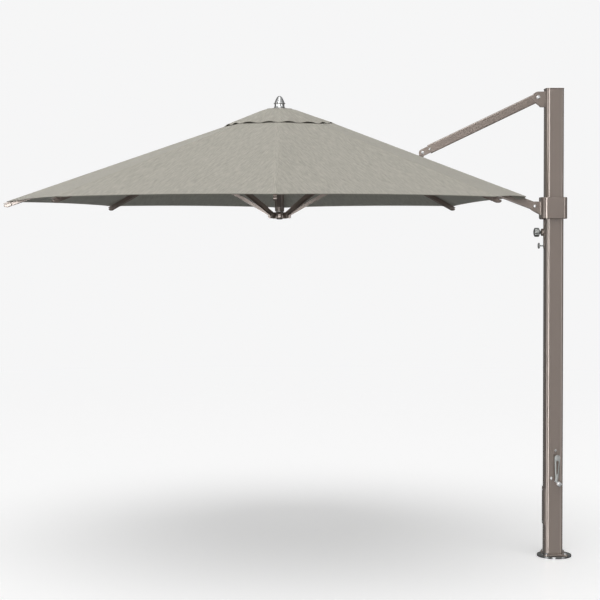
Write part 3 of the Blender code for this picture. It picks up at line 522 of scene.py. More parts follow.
def stand_for(node, mesh, material=None, angle=35.0):
    """A finer piece in place of a frame node."""
    item = extra(node + "_finish", mesh, SLOT[node], BODY[node], material, angle)
    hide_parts(node)
    return item


def refine(node, bevel):
    """The frame node's own shape with softly rounded edges."""
    source = frame["nodes"][node].data
    shell = bmesh.new()
    for vertex in source.vertices:
        shell.verts.new(vertex.co)
    shell.verts.ensure_lookup_table()
    for polygon in source.polygons:
        shell.faces.new([shell.verts[index] for index in polygon.vertices])
    bmesh.ops.remove_doubles(shell, verts=shell.verts, dist=WELD)
    bmesh.ops.dissolve_limit(shell, angle_limit=radians(0.6), verts=shell.verts, edges=shell.edges)
    item = holder(settle(shell, node))
    edge = item.modifiers.new("edge", "BEVEL")
    edge.width = bevel
    edge.segments = 2
    edge.limit_method = "ANGLE"
    edge.angle_limit = radians(38.0)
    return stand_for(node, take_mesh(item))


def both_ends(profile):
    """A profile and its mirror image below height 0."""
    return profile + [(radius, -height) for radius, height in reversed(profile)]


def screw_pair(length, head_radius, head_height, shaft_radius=0.005):
    """A shoulder screw with a washer and a domed head with a socket at each end."""
    half = length / 2
    washer = half + 0.0012
    top = half + head_height
    shoulder = top - head_height * 0.22
    dome = [(head_radius * 0.55, top), (head_radius * 0.84, shoulder), (head_radius * 0.86, washer)]
    socket = top - 0.0028
    return both_ends([(0.0, socket), (head_radius * 0.34, socket), (head_radius * 0.40, top), *soften(dome, 0.002),
        (head_radius, washer), (head_radius, half), (shaft_radius, half)])


# ---- base and mast
MAST_CORNER = 0.024
MAST_WALL = 0.003
CORD_SLOT = (1.285, 2.260)
STAND_BORE = 0.031               # through the flange and the turntable, round the swivel


def square(half, corner, steps=12):
    return rounded((-half, half), (-half, half), corner, steps)


def build_base():
    stand_x = middle("base_plate").x
    for node, bore in (("base_plate", 0.0), ("turntable", STAND_BORE)):
        bottom, top, radius = low(node).z, high(node).z, high(node).y
        rim = soften([(bore, top), (radius, top), (radius, bottom), (bore, bottom)], 0.0016)
        stand_for(node, lathe(rim, shift(stand_x, 0, 0), sides=128), BASE_STEEL)

    bottom, top = low("foot_flange").z, high("foot_flange").z
    lobe = 0.016
    x, y = ((high("foot_flange") - low("foot_flange")) / 2 - Vector((lobe, lobe, 0.0))).xy
    outline = []
    for quadrant, spot in enumerate(((x, y), (-x, y), (-x, -y), (x, -y))):
        outline += arc(spot, lobe, 90 * quadrant - 60, 90 * quadrant + 150, 18)
    flange = slab([outline, circle((0, 0), STAND_BORE)], bottom, top, 0.0018, stand_x)
    drills = []
    for index in range(1, 5):
        node = f"foot_bolt_{index}"
        spot = middle(node)
        place = shift(spot.x, spot.y, 0.0)
        drills.append(rod(0.0066, top + 0.01, bottom - 0.01, place, 24))
        foot, head = low(node).z, high(node).z
        seat = top + 0.0003
        washer_top = seat + 0.0018
        shaft = soften([(0.0, seat), (0.0105, washer_top), (0.0105, seat + 0.0002)], 0.0004)[1:]
        washer = lathe([(0.0, washer_top), *shaft, (0.006, seat), (0.006, foot), (0.0, foot)], place, 36)
        hexagon = plate([circle((0, 0), 0.0088, 6)], head - washer_top, 0.0007,
            place @ shift(0, 0, (head + washer_top) / 2)
            @ Matrix.Rotation(0.4 * index, 4, "Z"))
        stand_for(node, join(washer, hexagon), SCREW_STEEL)
    stand_for("foot_flange", cut(flange, *drills))


def build_mast():
    half = high("mast").x
    tube = slab([square(half, MAST_CORNER, 16), square(half - MAST_WALL, MAST_CORNER - MAST_WALL, 16)],
        low("mast").z, high("mast").z, 0.0006)
    slot_x = middle("lift_cord").x
    slot = rounded((slot_x - 0.007, slot_x + 0.007), CORD_SLOT, 0.0069, 6)
    slot_cutter = plate([slot], 0.02, 0.0, shift(0, half, 0) @ SIDEWAYS)
    crank = pivot("crank_turn")
    bore = rod(0.0093, 0.01, -0.01, facing((0, -1, 0), (crank.x, -half, crank.z)), 32)
    stand_for("mast", cut(tube, slot_cutter, bore))
    lo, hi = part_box("mast_cap")
    stand_for("mast_cap", slab([square(hi.x, MAST_CORNER + 0.002)], lo.z, hi.z, 0.0018))

    refine("access_cover", 0.0014)
    cover_low, cover_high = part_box("access_cover")
    for index, height in enumerate((cover_low.z + 0.016, cover_high.z - 0.016)):
        head = [(0.0, 0.0008), (0.0018, 0.0008), (0.0022, 0.0022),
            *soften([(0.003, 0.0022), (0.0045, 0.0010), (0.0046, -0.001)], 0.001), (0.0, -0.001)]
        extra(f"cover_screw_{index + 1}", lathe(head, facing((-1, 0, 0), (cover_low.x, 0, height)), 24),
            "stainless", "mast", SCREW_STEEL)

    # A long domed plug closes the assembly hole beside the crank.
    curve = [(0.0, 1.0), (0.30, 0.95), (0.60, 0.78), (0.82, 0.52), (0.95, 0.22), (1.0, -0.1), (0.0, -0.1)]
    dome = lathe(curve, facing((0, -1, 0), (0, 0, 0)) @ Matrix.Diagonal((0.0085, 0.0135, 0.0065, 1.0)), 40)
    dome.transform(shift(-0.018, -half, 0.508))
    extra("mast_plug", dome, "stainless", "mast", SCREW_STEEL, 60.0)


# ---- linkage
def along(start, end):
    """Placement whose local X runs from start to end in the plane of the linkage and whose local Z is +Y."""
    x_axis = (end - start).normalized()
    z_axis = Vector((0, 1, 0))
    rotation = Matrix((x_axis, z_axis.cross(x_axis), z_axis)).transposed().to_4x4()
    return Matrix.Translation(start) @ rotation


def build_linkage():
    for node, bevel in (("upper_bracket", 0.0010), ("collar_bracket", 0.0010), ("strut_lug", 0.0012)):
        refine(node, bevel)

    half = STRUT_DEPTH / 2
    length = (STRUT_PIVOT - UPPER_PIVOT).length
    place = along(UPPER_PIVOT, STRUT_PIVOT)
    fork_start, fork_half = length - 0.048, ARM_DEPTH / 2 - 0.0035
    body = arc((0, 0), half, 90, 270, 24) + [(fork_start, -half), (fork_start, half)]
    root = fork_start - 0.02
    cheek = arc((length, 0), fork_half, -90, 90, 24) + [(root, fork_half), (root, -fork_half)]
    cheeks = [plate([cheek], 0.003, 0.0010, place @ shift(0, 0, side)) for side in (0.0134, -0.0134)]
    stand_for("upper_strut", join(plate([body], ARM_WIDTH, 0.0058, place), *cheeks))

    half = ARM_DEPTH / 2
    place = along(COLLAR_PIVOT, HUB_PIVOT)
    reach = (HUB_PIVOT - COLLAR_PIVOT).length
    body = arc((0, 0), half, 90, 270, 24) + [(reach - 0.345, -half), (reach - 0.345, half)]
    stand_for("boom", plate([body], ARM_WIDTH, 0.0058, place))
    nose = RIB_DEPTH / 2
    tongue = arc((reach, 0), nose, -90, 90, 20) + [(reach - 0.44, nose), (reach - 0.44, -nose)]
    stand_for("boom_tongue", plate([tongue], RIB_WIDTH, 0.0030, place))

    for node, at, radius, height in (("upper_pivot_bolt", UPPER_PIVOT, 0.0115, 0.006),
            ("collar_pivot_bolt", COLLAR_PIVOT, 0.0090, 0.005),
            ("strut_pivot_bolt", STRUT_PIVOT, 0.0100, 0.005)):
        length = high(node).y - low(node).y - 2 * height
        stand_for(node, lathe(screw_pair(length, radius, height), facing((0, -1, 0), at), 48),
            SCREW_STEEL)

    # A second, smaller screw holds the strut's forked end.
    towards = (UPPER_PIVOT - STRUT_PIVOT).normalized()
    small = lathe(screw_pair(high("upper_strut").y - low("upper_strut").y, 0.0055, 0.003, 0.002),
        facing((0, -1, 0), STRUT_PIVOT + towards * 0.050), 32)
    extra("strut_fork_screw", small, "stainless", "strut", SCREW_STEEL)


def build_collar():
    lo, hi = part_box("collar")
    corner, wall = 0.036, 0.005
    outer = rounded((lo.x, hi.x), (lo.y, hi.y), corner, 16)
    inner = rounded((lo.x + wall, hi.x - wall), (lo.y + wall, hi.y - wall), corner - wall, 16)
    stand_for("collar", slab([outer, inner], lo.z, hi.z, 0.0040))
    lo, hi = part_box("collar_liner")
    outer = rounded((lo.x, hi.x), (lo.y, hi.y), corner - wall - 0.0003, 16)
    inner = square(high("mast").x + 0.0025, MAST_CORNER + 0.0025, 16)
    stand_for("collar_liner", slab([outer, inner], lo.z, hi.z, 0.0012))


def build_lock():
    knob = pivot("lock_knob_turn")
    lo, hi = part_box("lock_strap")
    sheet, half = 0.004, 0.014
    outline = rounded((-half, half), (lo.z, hi.z - 0.0005), 0.012, 8)
    turn = Matrix(((0, 0, 1, hi.x - 0.002), (1, 0, 0, 0), (0, 1, 0, 0), (0, 0, 0, 1)))
    bores = [circle((0, knob.z), 0.0080, 32), circle((0, middle("stop_pin").z), 0.0045, 24)]
    strap = plate([outline, *bores], sheet, 0.0008, turn)
    lip = slab([rounded((lo.x, hi.x), (-half, half), 0.004, 4)], hi.z - sheet, hi.z, 0.0008)
    boss = [(0.0080, 0.0165), *soften([(0.0190, 0.0165), (0.0235, 0.0130), (0.0235, 0.0)], 0.0020),
        (0.0080, 0.0)]
    stand_for("lock_strap", join(strap, lip, lathe(boss, facing((-1, 0, 0), (hi.x - sheet, 0, knob.z)))))

    # The knob: a fluted barrel, a domed cap and a slim neck that turns in the boss.
    lo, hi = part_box("lock_knob")
    radius, length = (hi.z - lo.z) / 2, 0.0395
    flutes = 8
    outline = []
    for index in range(flutes * 12):
        angle = 2 * pi * index / (flutes * 12)
        dip = 0.0022 * (0.5 - 0.5 * cos(flutes * angle)) ** 2
        outline.append(((radius - dip) * cos(angle), (radius - dip) * sin(angle)))
    barrel = length - 0.007
    grip = plate([outline], barrel, 0.0065, facing((-1, 0, 0), (lo.x + 0.004 + barrel / 2, 0, knob.z)))
    seat = facing((-1, 0, 0), (lo.x + length, 0, knob.z))
    cap = lathe(soften([(0.0, length), (0.0150, length - 0.0005), (0.0205, length - 0.0045), (0.0205, 0.0150),
        (0.0, 0.0150)], 0.003), seat)
    tail = lo.x + length - hi.x
    neck = lathe(soften([(0.0, 0.010), (0.0195, 0.010), (0.0180, 0.001), (0.0110, -0.001), (0.0090, -0.004),
        (0.0075, -0.009), (0.0075, tail), (0.0, tail)], 0.0012), seat)
    stand_for("lock_knob", join(grip, cap, neck))

    lo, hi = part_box("stop_pin")
    disc_x = lo.x + 0.012
    tail = disc_x - hi.x
    profile = soften([(0.0, 0.0118), (0.0150, 0.0112), (0.0185, 0.0085), (0.0185, 0.0025), (0.0150, 0.0005),
        (0.0070, 0.0), (0.0042, -0.0040), (0.0040, tail), (0.0, tail)], 0.0012)
    stand_for("stop_pin", lathe(profile, facing((-1, 0, 0), (disc_x, 0, middle("stop_pin").z))))


# ---- crank
def build_crank():
    axis = pivot("crank_turn")
    hinge = pivot("handle_fold")
    lo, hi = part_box("crank_boss")
    depth = hi.y - lo.y
    ring = soften([(0.0095, depth), (0.0185, depth), (0.0210, 0.0), (0.0095, 0.0)], 0.0015, closed=False)
    stand_for("crank_boss", lathe(ring, facing((0, -1, 0), (axis.x, hi.y, axis.z))))

    lo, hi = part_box("crank_shaft")
    start = low("crank_boss").y - 0.0003
    reach = start - lo.y
    head = [(0.0, reach - 0.016), (0.0084, reach - 0.016), (0.0088, reach - 0.0010),
        *soften([(0.0094, reach), (0.0118, reach), (0.0148, reach - 0.003), (0.0150, 0.0), (0.0085, 0.0)],
        0.0014),
        (0.0085, start - hi.y), (0.0, start - hi.y)]
    shaft = lathe(head, facing((0, -1, 0), (axis.x, start, axis.z)))
    knuckle = Vector((hinge.x, start - 0.012, hinge.z + 0.003))
    towards = knuckle - Vector((axis.x, knuckle.y, axis.z))
    tip = towards.length
    arm = lathe(soften([(0.0, tip), (0.0062, tip), (0.0070, 0.004), (0.0, 0.004)], 0.001),
        facing(towards, (axis.x, knuckle.y, axis.z)), 32)
    stand_for("crank_shaft", join(shaft, arm, ball(0.0088, knuckle)), SCREW_STEEL)
    head = [(0.0, 0.0112), (0.0026, 0.0112), (0.0036, 0.0102), (0.0036, 0.0090), (0.0022, 0.0090)]
    pin = soften(both_ends(head), 0.0004)
    extra("handle_hinge_pin", lathe(pin, facing((1, 0, 0), (0.009, hinge.y, hinge.z + 0.002)), 24),
        "stainless", "crank")

    lo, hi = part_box("crank_handle")
    top_radius, foot_radius = 0.0185, 0.0085
    top_x = (lo.x + hi.x) / 2 if hi.x - lo.x > 2 * top_radius else hi.x - top_radius
    foot_x = hinge.x + 0.003
    outline = (arc((top_x, hi.z - top_radius), top_radius, -8, 188, 28)
        + arc((foot_x, lo.z + foot_radius), foot_radius, 176, 364, 16))
    slot = (arc((top_x + 0.001, hi.z - 0.045), 0.0075, 0, 180, 16)
        + arc((top_x - 0.002, 0.545), 0.004, 180, 360, 10))
    stand_for("crank_handle", plate([outline, slot], hi.y - lo.y, 0.0034,
        shift(0, (lo.y + hi.y) / 2, 0) @ SIDEWAYS))

    lo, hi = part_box("handle_catch")
    at, height = middle("handle_catch"), hi.y - lo.y
    button = [(0.0, height - 0.003), (0.0028, height - 0.003), (0.0032, height),
        *soften([(0.0055, height), (0.0088, height * 0.55), (0.0090, 0.0)], 0.002), (0.0, 0.0)]
    stand_for("handle_catch", lathe(button, facing((0, -1, 0), (at.x, hi.y, at.z)), 40))


# ---- hubs, post, ribs and stays
def spoke(index, radius, side=0.0, height=0.0):
    """A point by its distance out along rib `index`, its distance to the rib's left, and its height."""
    angle = 2 * pi * index / RIBS
    return Vector((HUB_X + radius * cos(angle) - side * sin(angle),
        radius * sin(angle) + side * cos(angle), height))


def leftward(index):
    """The direction to the left of rib `index`."""
    return spoke(index, 0.0, 1.0) - spoke(index, 0.0)


def rib_plane(index):
    """Placement whose local X runs out along rib `index` and whose local Y is up."""
    turn = Matrix.Rotation(2 * pi * index / RIBS, 4, "Z")
    return HUB_AXIS @ turn @ SIDEWAYS


def slotted(outer_radius, floor, width):
    """Outline of a disc with an open slot for each rib."""
    half = width / 2
    rim = sqrt(outer_radius ** 2 - half ** 2)
    half_deg = degrees(asin(half / outer_radius))
    pitch = 360.0 / RIBS
    points = []
    for index in range(RIBS):
        turn = Matrix.Rotation(2 * pi * index / RIBS, 2)
        points += [tuple(turn @ Vector(corner)) for corner in ((rim, -half), (floor, -half), (floor, half))]
        points += arc((0, 0), outer_radius, index * pitch + half_deg, (index + 1) * pitch - half_deg, 10)[:-1]
    return points


def build_hubs():
    lo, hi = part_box("top_hub")
    floor = RIB_PIVOT_RADIUS - RIB_DEPTH / 2 - 0.002
    body = slab([slotted(hi.y, floor, RIB_WIDTH + 0.002)], lo.z, hi.z, 0.0012, HUB_X)
    pins = []
    for index in range(RIBS):
        height = HUB_PIVOT.z if index == 0 else RIB_PIVOT.z
        place = facing(leftward(index), spoke(index, RIB_PIVOT_RADIUS, 0, height))
        pins.append(rod(0.004, 0.0125, -0.0125, place, 20))
    stand_for("top_hub", join(body, *pins))

    lo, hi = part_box("lower_hub")
    drum = lathe(soften([(0.0235, hi.z), (0.0460, hi.z), (0.0460, lo.z), (0.0235, lo.z)], 0.0025),
        HUB_AXIS, 72)
    bottom, top = lo.z + 0.002, hi.z - 0.002
    side = soften([(0.040, bottom), (0.073, bottom), (0.073, top), (0.040, top)], 0.009, closed=True)
    tongues = [plate([side], 0.016, 0.0015, rib_plane(index)) for index in range(RIBS)]
    stand_for("lower_hub", join(drum, *tongues))
    cap = lathe(soften([(0.0, lo.z - 0.0002), (0.0200, lo.z - 0.0002), (0.0200, lo.z - 0.0035),
        (0.0130, lo.z - 0.0055), (0.0, lo.z - 0.0060)], 0.0015), HUB_AXIS, 48)
    extra("lower_hub_cap", cap, "black_plastic", "lower_hub")

    for node in ("post_outer", "post_middle", "post_inner"):
        lo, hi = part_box(node)
        inner = hi.y - 0.0026
        wall = soften([(inner, hi.z), (hi.y, hi.z), (hi.y, lo.z), (inner, lo.z)], 0.0006)
        stand_for(node, lathe(wall, HUB_AXIS))

    lo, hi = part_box("finial")
    base = hi.z - 0.075
    half_profile = [(0.0, 0.0748), (0.0060, 0.0742), (0.0110, 0.0715), (0.0165, 0.0655), (0.0220, 0.0560),
        (0.0270, 0.0450), (0.0305, 0.0350), (0.0325, 0.0300), (0.0370, 0.0292), (0.0380, 0.0270),
        (0.0370, 0.0248), (0.0325, 0.0240), (0.0315, 0.0200), (0.0315, 0.0110), (0.0325, 0.0060),
        (0.0350, 0.0030), (0.0350, 0.0), (0.008, 0.0)]
    stem = [(0.008, lo.z - base), (0.0, lo.z - base)]
    stand_for("finial", lathe(soften(half_profile, 0.0022, steps=3) + stem,
        shift(HUB_X, 0, base), 96), SCREW_STEEL, 50.0)
    seat = VENT_CROWN + 0.0014
    skirt = lathe(soften([(0.012, base - 0.0002), (0.0335, base - 0.0002), (0.0365, seat + 0.001),
        (0.0365, seat), (0.012, seat)], 0.0008), HUB_AXIS, 96)
    extra("finial_skirt", skirt, "stainless", BODY["finial"], SCREW_STEEL)


def build_ribs():
    """A rounded rectangular bar with a moulded plug at its tip, where the fabric's corner is hooked."""
    lean = atan(RIB_SLOPE)
    half = RIB_DEPTH / 2
    length = (RIB_TIP_RADIUS - RIB_PIVOT_RADIUS) / cos(lean) - half * 0.04
    bar_end = length - 0.052
    bar = arc((0, 0), half, 90, 270, 14) + [(bar_end, -half), (bar_end, half)]
    tip = length - half
    lower = soften([(bar_end + 0.0004, -half), (tip, -half), (length, -half + 0.012), (length, 0.0065),
        (bar_end + 0.0004, 0.0065)], 0.010, closed=True, steps=6)
    upper = soften([(bar_end + 0.0004, 0.0105), (length - 0.004, 0.0105), (length - 0.001, half - 0.001),
        (bar_end + 0.0004, half)], 0.0020, closed=True)
    core = [(bar_end - 0.02, -0.010), (bar_end + 0.030, -0.010), (bar_end + 0.030, 0.011),
        (bar_end - 0.02, 0.011)]
    for index in range(1, RIBS):
        place = (rib_plane(index) @ shift(RIB_PIVOT_RADIUS, RIB_PIVOT.z, 0)
            @ Matrix.Rotation(-lean, 4, "Z"))
        stand_for(f"rib_{index}", plate([bar], RIB_WIDTH, 0.0030, place))
        plug = join(plate([lower], RIB_WIDTH, 0.0030, place), plate([upper], RIB_WIDTH, 0.0012, place),
            plate([core], RIB_WIDTH - 0.006, 0.0008, place))
        extra(f"rib_plug_{index}", plug, "bronze_paint", f"rib_{index}")


def build_stays():
    for index in range(RIBS):
        node = f"stay_{index}"
        refine(node, 0.0006)
        pin = screw_pair(0.0380 if index == 0 else 0.0300, 0.0052, 0.0020, 0.003)
        pins = [lathe(pin, facing(leftward(index), spoke(index, radius, 0.0, height)), 28)
            for radius, height in ((STAY_RADIUS, pivot(node + "_fold").z), STAY_FOOT)]
        extra(f"stay_pins_{index}", join(*pins), "bronze_paint", BODY[node])


# ---- fabric
def tip_radius(index):
    return BOOM_TIP_RADIUS if index % RIBS == 0 else TIP_RADIUS


def band(index):
    return BOOM_BAND if index % RIBS == 0 else BAND


def ridge(index, radius):
    """Height of the fabric's top over rib `index`."""
    if index % RIBS == 0:
        return BOOM_RISE - BOOM_SLOPE * radius
    return RISE - SLOPE * radius


def band_edge(index, share, side):
    """Edge of the seam band: share 0 at the vent hole and 1 at the tip, side 1 is left and -1 right."""
    radius = HOLE_RADIUS + (tip_radius(index) - HOLE_RADIUS) * share
    return spoke(index, radius, side * band(index), ridge(index, radius))


def panel_point(index, share, across):
    """Top of the fabric between ribs `index` and `index` + 1."""
    belly = 4 * across * (1 - across)
    run = tip_radius(index) - HOLE_RADIUS
    pulled = share * (1 - HEM_INSET / run * belly * share ** 3)
    point = band_edge(index, pulled, 1).lerp(band_edge(index + 1, pulled, -1), across)
    point.z -= SAG * belly * sin(pi * min(share * 1.05, 1.0))
    pleat = sin(across * 2 * pi * 5.5 + index) * max(0.0, share - 0.80) ** 2
    point.z += 0.012 * pleat * (1 - belly) ** 2 * belly
    return point


def skin(name, rows, columns, spot, body):
    """A closed sheet with two maps, whose underside gets a darker copy of the cloth as painted shade.

    For a share of the way to the hem and a column, `spot` gives a point of the sheet's top, its places in the
    maps weave and edges, and the thickness there.
    """
    grid = [[spot(step / rows, column) for column in columns] for step in range(rows + 1)]
    width = len(grid[0])

    def normal(row, column):
        up = grid[min(row + 1, rows)][column][0] - grid[max(row - 1, 0)][column][0]
        out = grid[row][min(column + 1, width - 1)][0] - grid[row][max(column - 1, 0)][0]
        return out.cross(up).normalized()

    flip = -1.0 if normal((rows + 1) // 2, width // 2).z < 0 else 1.0
    shell = bmesh.new()
    maps = {layer: shell.loops.layers.uv.new(layer) for layer in ("weave", "edges")}
    top, under, place = [], [], {}
    for row, line in enumerate(grid):
        top.append([])
        under.append([])
        for column, (point, weave, edges, depth) in enumerate(line):
            for layer, corner in ((top, point), (under, point - normal(row, column) * flip * depth)):
                layer[row].append(shell.verts.new(corner))
                place[layer[row][-1]] = (weave, edges)
    faces = []
    for row in range(rows):
        for column in range(width - 1):
            for index, layer in enumerate((top, under)):
                faces.append((index, [layer[row][column], layer[row][column + 1],
                    layer[row + 1][column + 1], layer[row + 1][column]]))
    rim = [(row, column, row + 1, column) for row in range(rows) for column in (0, width - 1)]
    rim += [(row, column, row, column + 1) for column in range(width - 1) for row in (0, rows)]
    for row, column, end_row, end_column in rim:
        faces.append((0, [top[row][column], top[end_row][end_column],
            under[end_row][end_column], under[row][column]]))
    for index, loop in faces:
        face = shell.faces.new(loop)
        face.material_index = index
        for corner in face.loops:
            corner[maps["weave"]].uv, corner[maps["edges"]].uv = place[corner.vert]
    bmesh.ops.recalc_face_normals(shell, faces=shell.faces)
    mesh = settle(shell, name)
    # the underside takes the darker cloth, painted shade
    finish_mesh(mesh, [MATERIALS["canopy_fabric"], SHADED_UNDERSIDE], 50.0)
    item = holder(mesh, name)
    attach(item, body)
    return item


def canopy_body(index):
    return "boom" if index % RIBS == 0 else f"rib_{index % RIBS}"


def press(item, anchor, covered):
    """Give the cloth its own mesh and hide the frame node that it covers."""
    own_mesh(item)
    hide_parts(covered)


def build_panel_half(index, side, word):
    """Half of a panel, from the seam band of rib `index` to the panel's middle line."""
    panel = index if side > 0 else index - 1
    run = tip_radius(index) - HOLE_RADIUS
    hole, hem = ([panel_point(panel, share, across) for across in (0.0, 0.5, 1.0)] for share in (0.0, 1.0))
    hole_width, hem_width, slant = (hole[0] - hole[2]).length, (hem[0] - hem[2]).length, (hem[1] - hole[1]).length

    def spot(share, column):
        share = 1 - (1 - share) ** 1.25
        width = hole_width + (hem_width - hole_width) * share
        distance = 0.5 * column / 12
        across = distance if side > 0 else 1 - distance
        to_hem = (1 - share) * run
        return (panel_point(panel, share, across), ((across - 0.5) * width, (1 - share) * slant),
            (distance * width, to_hem), CLOTH * (1.9 if to_hem < 0.025 else 1.0))

    item = skin(f"canopy_panel_{index}_{word}", 34, range(13), spot, canopy_body(index))
    press(item, band_edge(index, 0.5, side), "canopy_cover")


def build_seam_band(index):
    """The double strip of fabric over a rib, or over the boom, where it has a slot for the strut's lug."""
    half = band(index)
    run = tip_radius(index) - HOLE_RADIUS

    def spot(share, across):
        radius = HOLE_RADIUS + run * share
        lift = 0.0007 if abs(across) < 0.97 else 0.0
        return (spoke(index, radius, across * half, ridge(index, radius) + 0.0003 + lift),
            (across * half + 0.7, (1 - share) * run), ((1 - abs(across)) * half, (1 - share) * run),
            CLOTH + 0.0004)

    length = (band_edge(index, 1.0, 1) - band_edge(index, 0.0, 1)).length
    columns = (-1.0, -0.94, -0.5, 0.0, 0.5, 0.94, 1.0)
    item = skin(f"canopy_seam_{index}", 40, columns, spot, canopy_body(index))
    if index == 0:
        slot = rounded((STRUT_PIVOT.x - 0.048, STRUT_PIVOT.x + 0.032), (-0.0235, 0.0235), 0.012, 8)
        item.data = cut(item.data.copy(), plate([slot], 0.30, 0.0, shift(0, 0, ridge(0, 0.9))))
        item.data.set_sharp_from_angle(angle=radians(50.0))
    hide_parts("canopy_cover")


def build_boom_pocket():
    """The corner pocket that hugs the boom: a saddle with a rounded flap down each side."""
    start, end = BOOM_TIP_RADIUS - 0.128, BOOM_TIP_RADIUS - 0.004
    half, drop, saddle = BOOM_BAND + 0.0012, 0.040, 0.14

    def spot(share, across):
        radius = start + (end - start) * share
        size, height = abs(across), ridge(0, radius) + 0.0014
        if size <= saddle:
            side = half * 0.93 * size / saddle
        else:
            fall = (size - saddle) / (1 - saddle)
            side = half * (0.93 + 0.07 * min(1.0, fall * 5)) + 0.002 * fall - 0.008 * fall * fall
            height -= drop * sin(pi * (0.04 + 0.92 * share)) ** 0.55 * fall
        return (spoke(0, radius, copysign(side, across), height),
            (across * 0.07 + 1.4, (1 - share) * 0.12), (0.05, (1 - size) * 0.05 + 0.02), CLOTH)

    columns = (-1.0, -0.75, -0.5, -0.28, -0.14, -0.05, 0.05, 0.14, 0.28, 0.5, 0.75, 1.0)
    item = skin("boom_pocket", 16, columns, spot, "boom")
    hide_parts("canopy_cover")


def build_corner_patch(index, side, word):
    """A kite of strong cloth under one side of a corner, by the rib's tip."""
    def spot(share, column):
        distance = 0.060 * (column / 6) * (0.25 + 0.75 * share)
        offset = distance / HEM_WIDTH
        panel, across = (index, offset) if side > 0 else (index - 1, 1 - offset)
        point = panel_point(panel, 0.915 + 0.083 * share, across)
        return (point - Vector((0, 0, 0.0043)), (distance, share * 0.12),
            (0.06 * (column / 6), 0.0 if column == 6 else 0.03), 0.0012)

    item = skin(f"corner_patch_{index}_{word}", 8, range(7), spot, canopy_body(index))
    press(item, band_edge(index, 0.5, side), "canopy_cover")


def vent_top(radius):
    """Height of the vent cap over a rib: a flat crown with a rounded shoulder, then a straight fall."""
    slope = (VENT_CROWN - ridge(1, VENT_RADIUS) - 0.0046) / (VENT_RADIUS - VENT_TOP_RADIUS)
    fall = slope * VENT_SHOULDER * log(1 + exp((radius - VENT_TOP_RADIUS) / VENT_SHOULDER))
    bulge = 0.002 * sin(pi * max(0.0, radius - VENT_TOP_RADIUS) / (VENT_RADIUS - VENT_TOP_RADIUS))
    return VENT_CROWN - fall + bulge


def vent_radius(share):
    return VENT_INNER + (VENT_RADIUS - VENT_INNER) * share ** 1.3


def vent_point(index, share, across):
    """Top of the vent cap; its edge touches at the ribs and panel middles and lifts in between."""
    radius = vent_radius(share)
    point = spoke(index, radius).lerp(spoke(index + 1, radius), across)
    boom_share = max(0.0, 1 - across if index % RIBS == 0 else across if (index + 1) % RIBS == 0 else 0.0)
    lift = (ridge(0, VENT_RADIUS) - ridge(1, VENT_RADIUS)) * boom_share
    lift += 0.0095 * sin(2 * pi * across) ** 2
    outward = max(0.0, (radius - VENT_TOP_RADIUS) / (VENT_RADIUS - VENT_TOP_RADIUS))
    point.z = vent_top(radius) + lift * outward ** 1.5
    return point


def build_vent_panel(index):
    def spot(share, column):
        across, width = column / 20, RIB_CHORD * vent_radius(share)
        if across < 0:
            point, weave_x = vent_point(index - 1, share, 1 + across), (across + 0.5) * width
        else:
            point, weave_x = vent_point(index, share, across), (across - 0.5) * width + 0.9
        to_hem = (1 - share) * 0.30
        return point, (weave_x, to_hem), (abs(across) * width + 0.001, to_hem), CLOTH

    item = skin(f"vent_panel_{index}", 16, range(-10, 11), spot, canopy_body(index))
    press(item, spoke(index, 0.2), "vent_cap")


def build_vent_crown():
    """A round patch under the finial that covers the panels' inner ends."""
    def spot(share, step):
        radius = 0.034 + (CROWN_RADIUS - 0.034) * share
        angle = 2 * pi * step / 64
        x, y = radius * cos(angle), radius * sin(angle)
        return (Vector((HUB_X + x, y, vent_top(radius) + 0.0012)), (x + 2.0, y),
            (0.05, CROWN_RADIUS - radius), 0.0012)

    crown = skin("vent_crown", 8, range(65), spot, "hub")
    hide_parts("vent_cap")


def build_fabric():
    sides = ((1, "left"), (-1, "right"))
    for index in range(RIBS):
        build_seam_band(index)
        for side, word in sides:
            build_panel_half(index, side, word)
    build_boom_pocket()
    for index in range(1, RIBS):
        for side, word in sides:
            build_corner_patch(index, side, word)
    for index in range(RIBS):
        build_vent_panel(index)
    build_vent_crown()


# ---- floor, light and camera
BACKGROUND = (0.921, 0.921, 0.924)
SKY_LEVEL = 0.50
KEY_LEVEL = 1.55
FLOOR_GLOW = 0.37
REFLECTED_LEVEL = 0.32
# tall strips of light: start and end azimuth in degrees, and brightness
REFLECTIONS = [(1.0, 19.0, 12.0), (-46.0, 8.0, 0.36), (50.0, 74.0, 5.2), (-64.0, -44.0, 3.6)]


def build_floor():
    shell = bmesh.new()
    bmesh.ops.create_circle(shell, cap_ends=True, segments=96, radius=60.0)
    floor = holder(settle(shell, "floor"), "floor")
    floor.location.z = -0.0006
    material = bpy.data.materials.new("floor")
    nodes = Nodes(material)
    distance = nodes.add("VectorMath", {0: nodes.place(), 1: (HUB_X, 0.0, 0.0)}, operation="DISTANCE")
    far = nodes.ramp(distance.outputs["Value"], 4.0, 14.0)
    lit = nodes.add("BsdfPrincipled", {"Base Color": (0.80, 0.80, 0.803, 1.0), "Roughness": 0.30,
        "Specular IOR Level": 0.35})
    dim = nodes.add("BsdfDiffuse", {"Color": (0.33, 0.33, 0.33, 1.0)})
    glow = nodes.add("Emission", {"Color": (*BACKGROUND, 1.0), "Strength": FLOOR_GLOW})
    both = nodes.add("AddShader", {0: lit.outputs[0], 1: glow.outputs[0]})
    backdrop = nodes.add("Emission", {"Color": (*BACKGROUND, 1.0), "Strength": 1.0})
    blend = nodes.blend(far, both, backdrop)
    seen = nodes.add("LightPath").outputs["Is Camera Ray"]
    paper = nodes.blend(seen, dim, blend)
    nodes.add("OutputMaterial", {0: paper.outputs[0]})
    floor.data.materials.append(material)
    floor.visible_glossy = False


